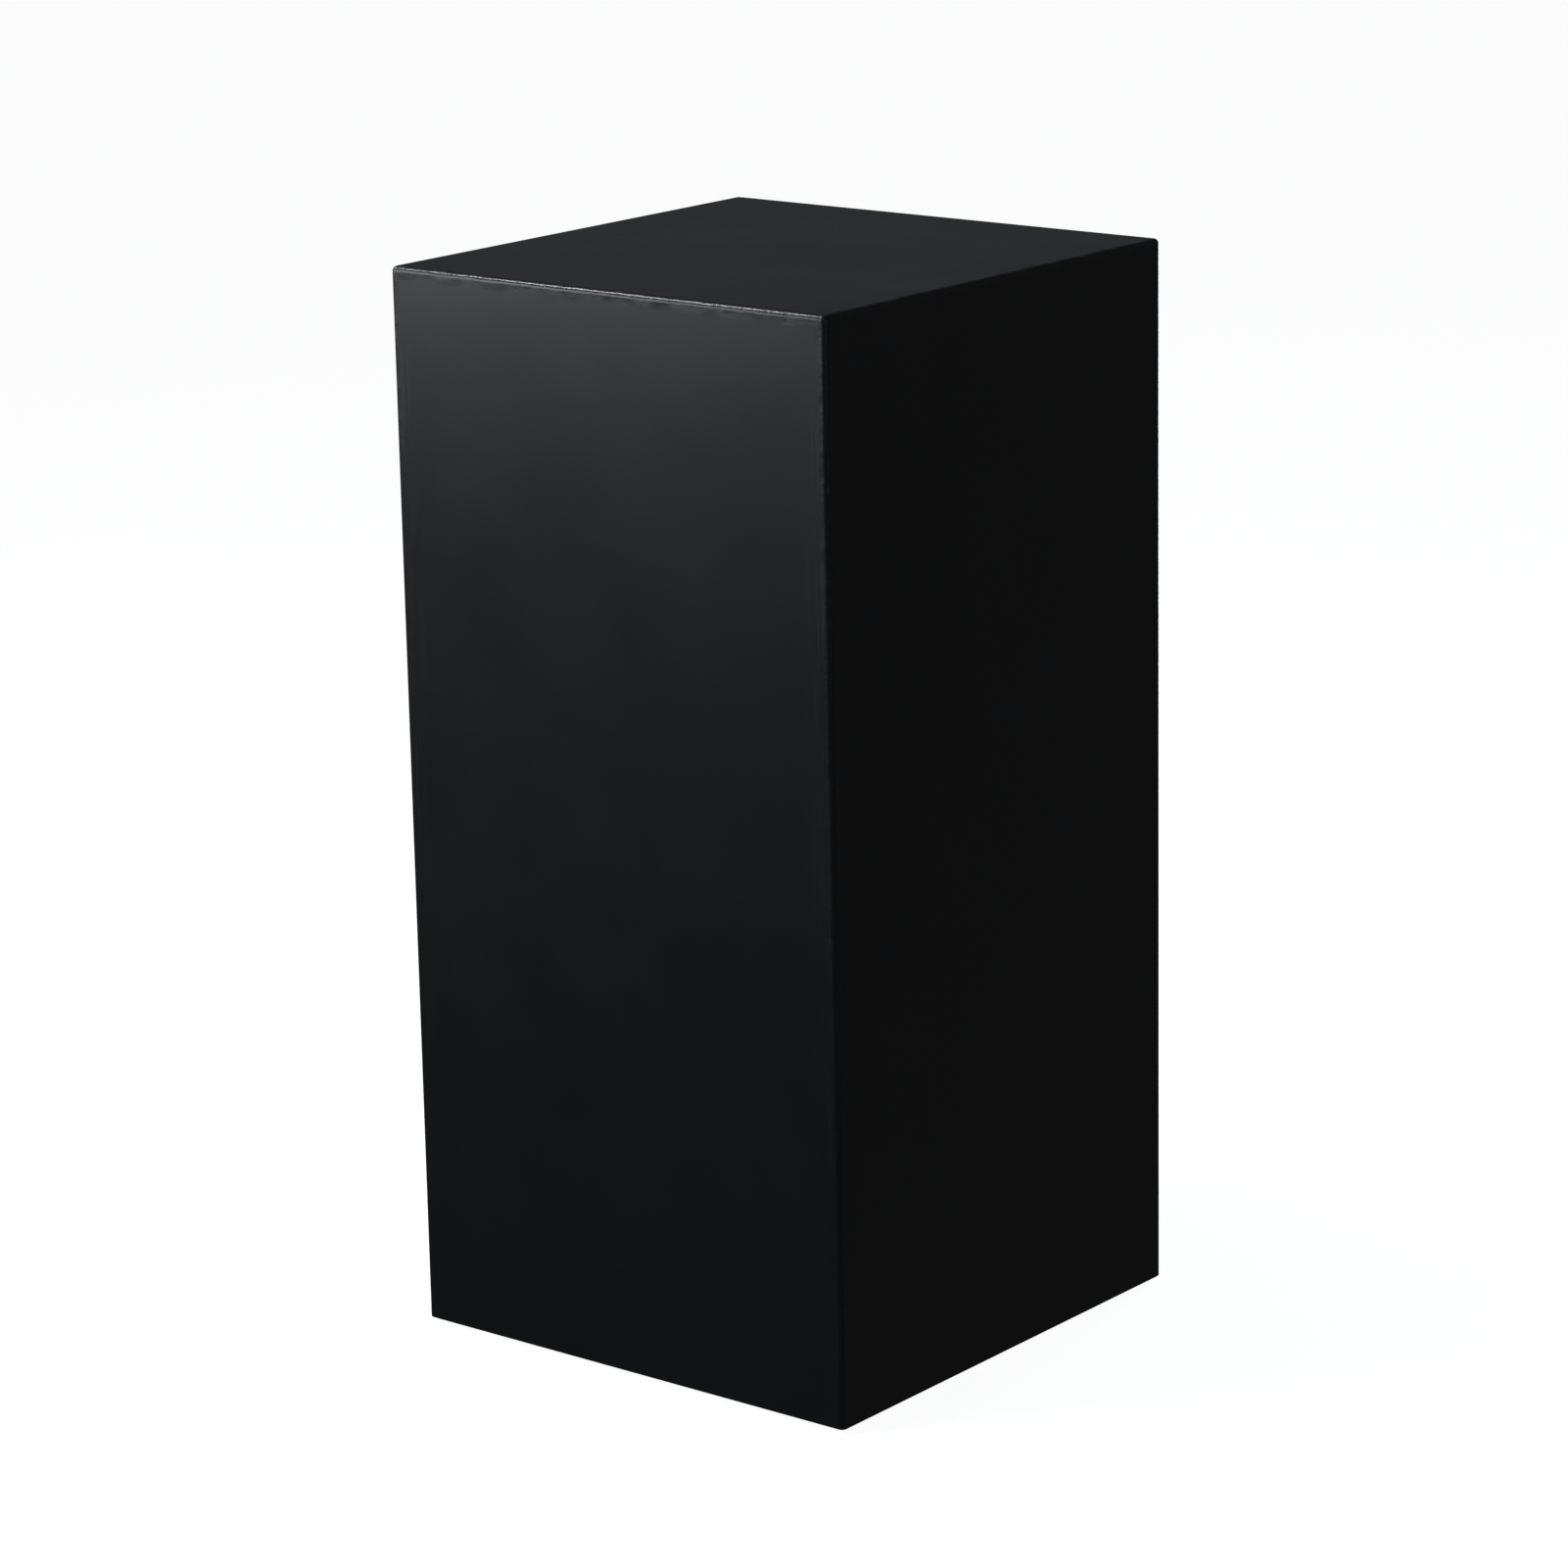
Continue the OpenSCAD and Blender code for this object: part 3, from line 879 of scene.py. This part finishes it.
def finish_board(board, lacquer, raw_board, case, node):
    """Lacquer on the outside of a board, raw fibreboard on its inside, its mitres and its cuts."""
    finish_piece(board, lacquer, "case", "lacquered_board", node)
    board.data.materials.append(raw_board)
    rounded = case.arris + MM / 10
    for face in board.data.polygons:
        centre = face.center
        sideways = max(abs(centre.x), abs(centre.y)) > HALF - rounded
        topside = centre.z > CASE_TOP - rounded
        underside = centre.z < CASE_LOW + case.lower_ease
        face.material_index = 0 if sideways or topside or underside else 1
    true_arris_normals(board, case)


class PLINTH_OT_case_boards(bpy.types.Operator):
    """Builds the four mitred walls and the mitred top, cut for their screws and biscuits"""

    bl_idname = "plinth.case_boards"
    bl_label = "Case Boards"

    def execute(self, context):
        case, finish = context.scene.plinth_case, context.scene.plinth_finish
        lacquer, raw_board = black_lacquer(finish), raw_fibreboard(finish)
        block = rounded_block(case)
        wall = own_copy(block, "front_wall")
        for point, outward in mitre_planes(0):
            bisect_keep(wall, point, outward)
        top = own_copy(block, "top_board")
        for turn in range(4):
            point, outward = mitre_planes(turn)[2]
            bisect_keep(top, point, -outward)
        bisect_keep(top, Vector((0.0, 0.0, CASE_TOP - BOARD)), DOWN)
        walls = [wall]
        for turn, side in list(enumerate(WALLS))[1:]:
            walls.append(quarter_turn_copy(wall, f"{side}_wall", turn))
        for board, node in zip((*walls, top), (*(f"{w}_panel" for w in WALLS), "top_panel")):
            cut_joinery(board, joinery())
            finish_board(board, lacquer, raw_board, case, node)
        drop(block)
        return {"FINISHED"}


# ---------------------------------------------------------------- timber and plywood


class PLINTH_OT_timber_frame(bpy.types.Operator):
    """Builds the battens, rails and cleats inside the case, cut for their screws"""

    bl_idname = "plinth.timber_frame"
    bl_label = "Timber Frame"

    def execute(self, context):
        case, finish = context.scene.plinth_case, context.scene.plinth_finish
        pale, dark = finish.pine_pale, finish.pine_dark
        turns = {
            "Pine Upright": (0.0, QUARTER, 0.0),
            "Pine Side to Side": (0.0, 0.0, 0.0),
            "Pine Front to Back": (0.0, 0.0, QUARTER),
        }
        pines = {
            name: sawn_timber(name, pale, dark, PINE_RING, turn) for name, turn in turns.items()
        }
        for corner in CORNERS:
            self.stick(case, f"corner_batten_{corner}", pines["Pine Upright"], f"batten_{corner}")
        for wall in WALLS:
            sideways = wall in ("front", "back")
            pine = pines["Pine Side to Side" if sideways else "Pine Front to Back"]
            for node in ("base_rail", "top_cleat", "brace_cleat"):
                self.stick(case, f"{node}_{wall}", pine, f"{node}_strip_{wall}")
        return {"FINISHED"}

    def stick(self, case, node, pine, name):
        """One planed stick the size of its solid, with its long edges rounded over."""
        low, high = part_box(node)
        stick = add_cuboid(name, low, high)
        sizes = high - low
        along = max(range(3), key=lambda axis: sizes[axis])

        def long_edge(a, b):
            return abs(a[along] - b[along]) > sizes[along] / 2

        def end_edge(a, b):
            return max(abs(a[along] - low[along]), abs(b[along] - low[along])) < MM / 10 or max(
                abs(a[along] - high[along]), abs(b[along] - high[along])
            ) < MM / 10

        ease_edges(stick, long_edge, case.timber_ease, 3)
        ease_edges(stick, end_edge, case.timber_ease / 4, 1)
        cut_joinery(stick, joinery())
        finish_piece(stick, pine, "case", "pine", node)


class PLINTH_OT_plywood_boards(bpy.types.Operator):
    """Builds the base board and the notched brace, with their chamfered holes"""

    bl_idname = "plinth.plywood_boards"
    bl_label = "Base and Brace"

    def execute(self, context):
        case, finish = context.scene.plinth_case, context.scene.plinth_finish
        base = add_cuboid("base_board", BASE_LOW, BASE_HIGH)
        self.ease_and_pierce(base, case, case.access_hole / 2)
        for turn in range(4):
            centre = quarter_turns(turn, 3) @ FOOT_AXIS
            centre.z = (BASE_LOW.z + BASE_HIGH.z) / 2
            bore = add_rod("bore", centre, case.nut_hole / 2, 2 * BOARD, BORE_SIDES)
            combine(base, bore, "DIFFERENCE")
        cut_joinery(base, joinery())
        plywood = birch_plywood("Birch Plywood, Base", finish, BASE_LOW.z, BASE_HIGH.z, BASE_PLIES)
        finish_piece(base, plywood, "case", "plywood", "base_panel")

        low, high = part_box("mid_brace")
        brace = add_cuboid("brace_board", low, high)
        notch_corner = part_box("corner_batten_front_left")[1].xy
        gap = HALF - BOARD + low.x
        for turn in range(4):
            notch_high = (notch_corner.x + gap, notch_corner.y + gap, high.z + BOARD)
            notch = add_cuboid("notch", (-HALF, -HALF, low.z - BOARD), notch_high)
            notch.data.transform(quarter_turns(turn))
            combine(brace, notch, "DIFFERENCE")
        self.ease_and_pierce(brace, case, case.brace_hole / 2)
        cut_joinery(brace, joinery())
        plywood = birch_plywood("Birch Plywood, Brace", finish, low.z, high.z, BRACE_PLIES)
        finish_piece(brace, plywood, "case", "plywood", "mid_brace")
        return {"FINISHED"}

    def ease_and_pierce(self, board, case, radius):
        """Eases every edge of a board, then drills its middle and chamfers the hole."""
        low, high = mesh_box(board)
        ease_edges(board, lambda a, b: True, case.board_ease, 2)
        centre = (low + high) / 2
        drill = add_rod("drill", centre, radius, 2 * (high.z - low.z), HOLE_SIDES)
        combine(board, drill, "DIFFERENCE")

        def rim(a, b):
            level = abs(a.z - b.z) < NEAR and min(abs(a.z - low.z), abs(a.z - high.z)) < NEAR
            return level and all(abs(point.xy.length - radius) < NEAR for point in (a, b))

        ease_edges(board, rim, case.hole_chamfer, 2)


class PLINTH_OT_biscuits(bpy.types.Operator):
    """Gives the joining biscuits their pressed beech"""

    bl_idname = "plinth.biscuits"
    bl_label = "Joining Biscuits"

    def execute(self, context):
        finish = context.scene.plinth_finish
        turn = (0.0, QUARTER, 0.35)
        beech = sawn_timber(
            "Pressed Beech", finish.beech_pale, finish.beech_dark, BEECH_RING, turn, sway=0.002
        )
        for node in BISCUIT_NODES:
            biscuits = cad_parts[node]
            biscuits.data.materials.clear()
            biscuits.data.materials.append(beech)
        return {"FINISHED"}


# ---------------------------------------------------------------- screws


class PLINTH_OT_wood_screws(bpy.types.Operator):
    """Models one countersunk wood screw of each length and drives copies of it everywhere"""

    bl_idname = "plinth.wood_screws"
    bl_label = "Wood Screws"

    def execute(self, context):
        screws, finish = context.scene.plinth_screws, context.scene.plinth_finish
        zinc = zinc_plate("Zinc Plated Screws", finish)
        lengths = set(SCREW_LENGTHS.values())
        patterns = {length: self.screw(length * MM, screws) for length in lengths}
        for node, length in SCREW_LENGTHS.items():
            driven = []
            for index, (tool, _, _) in enumerate(joinery()[node]):
                screw = own_copy(patterns[length], f"{node}_{index}")
                stopped_at = Matrix.Rotation(index * screws.stop_step, 4, "Z")
                screw.data.transform(screw_place(tool) @ stopped_at)
                driven.append(screw)
            piece = join_all(node.replace("screws", "wood_screws"), driven)
            finish_piece(piece, zinc, "case", "zinc_screws", node)
        drop(*patterns.values())
        return {"FINISHED"}

    def screw(self, length, screws):
        """A screw with its head's top at the origin, pointing down."""
        head, shank, root = screws.head_radius, screws.shank_radius, screws.root
        ease, tip = 0.15 * MM, 2 * shank
        thread_top = -length * (1 - screws.thread_share)
        screw = turned_piece(
            "screw",
            [
                (0.0, 0.0), (head - ease, 0.0), (head, -ease), (head, -screws.head_land),
                (shank, -screws.head_land - (head - shank)), (shank, thread_top),
                (root, thread_top - shank / 4), (root, tip - length),
                (0.0, tip - length - root / 2),
            ],
            SCREW_SIDES,
        )
        crest = 0.99 * shank
        thread = threaded_rod(
            "thread", 0.97 * root, crest, screws.pitch, -length, thread_top, SCREW_THREAD_STEPS
        )
        sleeve = turned_piece(
            "sleeve",
            [
                (0.0, -length), (1.1 * shank, 1.1 * tip - length),
                (1.1 * shank, thread_top - screws.pitch), (0.9 * root, thread_top - 0.1 * MM),
                (0.0, thread_top - 0.1 * MM),
            ],
            SCREW_SIDES,
        )
        combine(thread, sleeve, "INTERSECT")
        for turn in (0.0, QUARTER):
            combine(screw, self.recess_blade(screws, turn), "DIFFERENCE")
        combine(screw, thread, "UNION")
        return screw

    def recess_blade(self, screws, turn):
        """One of the two crossed wings of the recess, narrower at its bottom."""
        wide, thick = screws.recess_width / 2, screws.recess_width / 9
        deep = screws.recess_depth * (1.0 if turn else 0.97)
        blade = add_cuboid("blade", (-wide, -thick, -deep), (wide, thick, MM))
        narrow_end(blade, -deep, (0.3, 0.6, 1.0))
        blade.data.transform(Matrix.Rotation(turn, 4, "Z"))
        return blade


# ---------------------------------------------------------------- levelling feet


class PLINTH_OT_tee_nuts(bpy.types.Operator):
    """Builds the pronged tee nuts pressed up into the base"""

    bl_idname = "plinth.tee_nuts"
    bl_label = "Tee Nuts"

    def execute(self, context):
        foot, finish = context.scene.plinth_foot, context.scene.plinth_finish
        zinc = zinc_plate("Zinc Plated Nuts", finish)
        bore, barrel, rim = foot.thread_radius + 0.05 * MM, foot.barrel_radius, foot.flange_radius
        low, seat, top = NUT_LOW.z, BASE_LOW.z, BASE_LOW.z + foot.barrel_height
        prong_top = seat + foot.prong_height
        ease = 0.2 * MM
        nut = turned_piece(
            "nut",
            [
                (bore + ease, low), (rim - ease, low), (rim, low + ease), (rim, seat - ease),
                (rim - ease, seat), (barrel, seat), (barrel, top - ease), (barrel - ease, top),
                (bore, top), (bore, low + ease), (bore + ease, low),
            ],
            NUT_SIDES,
        )
        half_wide = foot.prong_width / 2
        for turn in range(4):
            spin = quarter_turns(turn)
            notch_low = (foot.prong_out, -half_wide - ease, low - MM)
            notch = add_cuboid("notch", notch_low, (rim + MM, half_wide + ease, seat + MM))
            notch.data.transform(spin)
            combine(nut, notch, "DIFFERENCE")
        for turn in range(4):
            spin = quarter_turns(turn)
            prong_low = (foot.prong_in, -half_wide, (low + seat) / 2)
            prong = add_cuboid("prong", prong_low, (foot.prong_out, half_wide, prong_top))
            narrow_end(prong, prong_top, (0.4, 0.15, 1.0))
            prong.data.transform(spin)
            combine(nut, prong, "UNION")
        for piece, corner in at_corners(nut, "pronged_nut"):
            finish_piece(piece, zinc, "case", "zinc_steel", f"tee_nut_{corner}")
        return {"FINISHED"}


class PLINTH_OT_foot_stems(bpy.types.Operator):
    """Builds the foot screws: thread, hexagon, neck and the ankle that the pad holds"""

    bl_idname = "plinth.foot_stems"
    bl_label = "Foot Screws"

    def execute(self, context):
        foot, finish = context.scene.plinth_foot, context.scene.plinth_finish
        zinc = zinc_plate("Zinc Plated Foot Screws", finish)
        low, top = STEM_LOW.z, STEM_HIGH.z
        hexagon_low, hexagon_high = PAD_HIGH.z + foot.pad_gap, NUT_LOW.z - foot.nut_gap
        ankle, neck, ankle_top = foot.ankle_radius, foot.neck_radius, low + foot.ankle_height
        ease = 0.3 * MM
        stem = turned_piece(
            "stem",
            [
                (0.0, low), (ankle - ease, low), (ankle, low + ease), (ankle, ankle_top - ease),
                (ankle - ease, ankle_top), (neck + ease, ankle_top), (neck, ankle_top + ease),
                (neck, hexagon_low + MM), (0.0, hexagon_low + MM),
            ],
            STEM_SIDES,
        )
        combine(stem, self.hexagon(foot, hexagon_low, hexagon_high), "UNION")
        combine(stem, self.thread(foot, hexagon_high - MM / 2, top), "UNION")
        for piece, corner in at_corners(stem, "foot_screw"):
            finish_piece(piece, zinc, f"screw_{corner}", "zinc_steel", f"foot_stem_{corner}")
        return {"FINISHED"}

    def hexagon(self, foot, low, high):
        corner = foot.hexagon_across / math.sqrt(3)
        centre = (0.0, 0.0, (low + high) / 2)
        hexagon = add_rod("hexagon", centre, corner, high - low, 6, turn=QUARTER / 3)
        ease = foot.hexagon_ease
        face = corner + 0.1 * MM - ease / math.tan(math.radians(30))
        outline = [
            (0.0, low), (face, low), (corner + 0.1 * MM, low + ease),
            (corner + 0.1 * MM, high - ease), (face, high), (0.0, high),
        ]
        combine(hexagon, turned_piece("chamfer", outline, CHAMFER_SIDES), "INTERSECT")
        return hexagon

    def thread(self, foot, low, high):
        crest, root = foot.thread_radius, foot.thread_root
        thread = threaded_rod(
            "thread", root, crest, foot.thread_pitch, low, high + MM, FOOT_THREAD_STEPS
        )
        outline = [
            (0.0, low), (1.1 * crest, low), (1.1 * crest, high + 0.7 * (root - 1.1 * crest)),
            (0.9 * root, high), (0.0, high),
        ]
        combine(thread, turned_piece("chamfer", outline, NUT_SIDES), "INTERSECT")
        return thread


class PLINTH_OT_foot_pads(bpy.types.Operator):
    """Builds the moulded pads with their grooved treads and ankle sockets"""

    bl_idname = "plinth.foot_pads"
    bl_label = "Foot Pads"

    def execute(self, context):
        foot, finish = context.scene.plinth_foot, context.scene.plinth_finish
        nylon = moulded_nylon(finish)
        radius, top = (PAD_HIGH.x - PAD_LOW.x) / 2, PAD_HIGH.z
        collar, neck = 0.6 * radius, foot.neck_radius + foot.swivel_gap
        socket, play = foot.ankle_radius + foot.swivel_gap, 0.15 * MM
        socket_low, socket_high = STEM_LOW.z - play, STEM_LOW.z + foot.ankle_height + play
        groove, slope = foot.tread_groove, 0.4 * MM
        points = [(0.0, groove)]
        for share_in, share_out in ((0.30, 0.40), (0.50, 0.58), (0.68, 0.90)):
            inner, outer = share_in * radius, share_out * radius
            points += [(inner - slope, groove), (inner, 0.0), (outer, 0.0)]
            if share_out < 0.9:
                points.append((outer + slope, groove))
        points += self.round_corner(radius - 1.2 * MM, 1.2 * MM, 1.2 * MM, -90, 0)
        points += self.round_corner(radius - 1.0 * MM, top / 2 - 1.0 * MM, 1.0 * MM, 0, 50)
        points += self.round_corner(collar - 0.6 * MM, top - 0.6 * MM, 0.6 * MM, 45, 90)
        points += [
            (neck + 0.4 * MM, top), (neck, top - 0.4 * MM), (neck, socket_high),
            (socket, socket_high), (socket, socket_low), (0.0, socket_low),
        ]
        pad = turned_piece("pad", points, PAD_SIDES)
        for piece, corner in at_corners(pad, "nylon_pad"):
            finish_piece(piece, nylon, f"foot_{corner}", "nylon", f"foot_pad_{corner}")
        return {"FINISHED"}

    def round_corner(self, centre_r, centre_z, radius, start, end, steps=4):
        """Points of an arc between two angles in degrees, 0 pointing outwards and 90 up."""
        angles = [math.radians(start + (end - start) * i / steps) for i in range(steps + 1)]
        return [(centre_r + radius * math.cos(a), centre_z + radius * math.sin(a)) for a in angles]


# ---------------------------------------------------------------- the stage

# name, degrees to the left of straight in front, distance, level, width and height of the box,
# radiance, colour. The near key and the box beside it grade the front, the small upper left box
# draws the line along the front top edge, and the right, back and under boxes show those sides.
COOL, COOLER, EVEN = (0.88, 1.0, 1.09), (0.93, 0.98, 1.28), (0.98, 0.99, 1.05)
SOFTBOXES = (
    ("near_key", 44, 0.75, 0.70, 0.60, 0.30, 4.8, COOL),
    ("front_left_box", 25, 1.09, 0.653, 0.45, 0.45, 0.95, COOL),
    ("front_box", 2, 1.90, 0.85, 0.5, 0.5, 0.6, COOL),
    ("upper_left_box", 65, 0.95, 1.62, 0.30, 0.30, 24.0, EVEN),
    ("overhead_box", 75, 0.29, 1.60, 0.45, 0.45, 0.5, COOL),
    ("back_left_box", 145, 2.17, 0.88, 0.9, 0.9, 0.068, COOLER),
    ("back_right_box", 220, 2.17, 0.88, 0.9, 0.9, 0.03, EVEN),
    ("back_box", 180, 1.8, 0.30, 0.3, 0.5, 8.0, COOL),
    ("right_box", 292, 2.2, 0.9, 0.8, 0.8, 0.8, COOL),
    ("under_box", 180, 0.1, -0.7, 0.5, 0.5, 6.0, EVEN),
)
AIM = Vector((0.0, -0.1, 0.45))
FLOOR_SIZE, FLOOR_GLOW = 60.0, 0.92
FILL = 0.053  # strength of the even fill that comes from everywhere
SENSOR_WIDTH = 36.0  # in millimetres, as the lens is
CLIP = (0.05, 200.0)


def add_camera(stage):
    azimuth, elevation, roll = stage.azimuth, stage.elevation, stage.roll
    back = Vector(
        (
            math.sin(azimuth) * math.cos(elevation),
            -math.cos(azimuth) * math.cos(elevation),
            math.sin(elevation),
        )
    )
    level_right = UP.cross(back).normalized()
    level_up = back.cross(level_right)
    right = math.cos(roll) * level_right + math.sin(roll) * level_up
    up = -math.sin(roll) * level_right + math.cos(roll) * level_up
    offset = stage.aside * right + stage.above * up + stage.distance * back
    data = bpy.data.cameras.new("Camera")
    data.lens = stage.lens
    data.sensor_width = SENSOR_WIDTH
    data.clip_start, data.clip_end = CLIP
    camera = bpy.data.objects.new("Camera", data)
    turned = Matrix((right, up, back)).transposed().to_4x4()
    camera.matrix_world = Matrix.Translation(CASE_MIDDLE + CASE_HEIGHT * offset) @ turned
    bpy.context.scene.collection.objects.link(camera)
    bpy.context.scene.camera = camera


def add_softbox(name, degrees_left, distance, level, width, height, radiance, colour, brightness):
    angle = math.radians(degrees_left)
    place = Vector((-math.sin(angle) * distance, AIM.y - math.cos(angle) * distance, level))
    data = bpy.data.lights.new(name, "AREA")
    data.shape = "RECTANGLE"
    data.size, data.size_y = width, height
    data.energy = math.pi * width * height * radiance * brightness
    data.color = colour
    light = bpy.data.objects.new(name, data)
    light.location = place
    light.rotation_euler = (AIM - place).to_track_quat("-Z", "Y").to_euler()
    light.visible_camera = False
    bpy.context.scene.collection.objects.link(light)


def add_floor():
    """A pale floor that is clear from below, so that it never hides the underside."""
    deselect_all()
    bpy.ops.mesh.primitive_plane_add(size=FLOOR_SIZE)
    floor = bpy.context.object
    floor.name = "floor"
    material, tree, shader = new_material("Pale Floor")
    shader.inputs["Base Color"].default_value = (0.80, 0.80, 0.80, 1.0)
    shader.inputs["Roughness"].default_value = 0.9
    shader.inputs["Emission Color"].default_value = (1.0, 1.0, 1.0, 1.0)
    shader.inputs["Emission Strength"].default_value = FLOOR_GLOW
    seen = add_node(tree, "ShaderNodeNewGeometry").outputs["Backfacing"]
    clear = add_node(tree, "ShaderNodeBsdfTransparent").outputs[0]
    mix = add_node(tree, "ShaderNodeMixShader", {"Fac": seen})
    put(tree, shader.outputs[0], mix.inputs[1])
    put(tree, clear, mix.inputs[2])
    put(tree, mix.outputs[0], tree.nodes["Material Output"].inputs["Surface"])
    floor.data.materials.append(material)
    floor.visible_diffuse = False
    floor.visible_glossy = False
    floor.visible_shadow = False


def light_world():
    """White to the camera, and a weak even fill for everything else."""
    world = bpy.data.worlds.new("Studio")
    bpy.context.scene.world = world
    world.use_nodes = True
    tree = world.node_tree
    tree.nodes.clear()
    seen = add_node(tree, "ShaderNodeBackground", {"Color": (1.0, 1.0, 1.0, 1.0), "Strength": 1.0})
    fill = add_node(tree, "ShaderNodeBackground", {"Color": (*EVEN, 1.0), "Strength": FILL})
    rays = add_node(tree, "ShaderNodeLightPath")
    mix = add_node(tree, "ShaderNodeMixShader", {"Fac": rays.outputs["Is Camera Ray"]})
    put(tree, fill.outputs[0], mix.inputs[1])
    put(tree, seen.outputs[0], mix.inputs[2])
    end = add_node(tree, "ShaderNodeOutputWorld")
    put(tree, mix.outputs[0], end.inputs["Surface"])


class PLINTH_OT_stage(bpy.types.Operator):
    """Sets up the camera, the floor and the studio lights"""

    bl_idname = "plinth.stage"
    bl_label = "Stage"

    def execute(self, context):
        stage = context.scene.plinth_stage
        context.scene.view_settings.view_transform = "Standard"
        add_camera(stage)
        add_floor()
        light_world()
        for softbox in SOFTBOXES:
            add_softbox(*softbox, stage.brightness)
        return {"FINISHED"}


# ---------------------------------------------------------------- add-on


class PLINTH_PT_panel(bpy.types.Panel):
    """Lists the plinth's build steps"""

    bl_idname = "PLINTH_PT_panel"
    bl_label = "Display Plinth"
    bl_space_type = "VIEW_3D"
    bl_region_type = "UI"
    bl_category = "Plinth"

    def draw(self, context):
        for operator in OPERATORS:
            self.layout.operator(operator.bl_idname)


OPERATORS = (
    PLINTH_OT_stage,
    PLINTH_OT_case_boards,
    PLINTH_OT_timber_frame,
    PLINTH_OT_plywood_boards,
    PLINTH_OT_biscuits,
    PLINTH_OT_wood_screws,
    PLINTH_OT_tee_nuts,
    PLINTH_OT_foot_stems,
    PLINTH_OT_foot_pads,
)
GROUPS = {
    "plinth_case": PlinthCaseSettings,
    "plinth_foot": PlinthFootSettings,
    "plinth_screws": PlinthScrewSettings,
    "plinth_finish": PlinthFinishSettings,
    "plinth_stage": PlinthStageSettings,
}


def register():
    for cls in (*GROUPS.values(), *OPERATORS, PLINTH_PT_panel):
        bpy.utils.register_class(cls)
    for name, cls in GROUPS.items():
        setattr(bpy.types.Scene, name, PointerProperty(type=cls))


def unregister():
    for name in GROUPS:
        delattr(bpy.types.Scene, name)
    for cls in (PLINTH_PT_panel, *reversed(OPERATORS), *reversed(GROUPS.values())):
        bpy.utils.unregister_class(cls)


def main():
    register()
    for operator in OPERATORS:
        module, name = operator.bl_idname.split(".")
        getattr(getattr(bpy.ops, module), name)()
    put_tools_away()


if __name__ == "__main__":
    main()
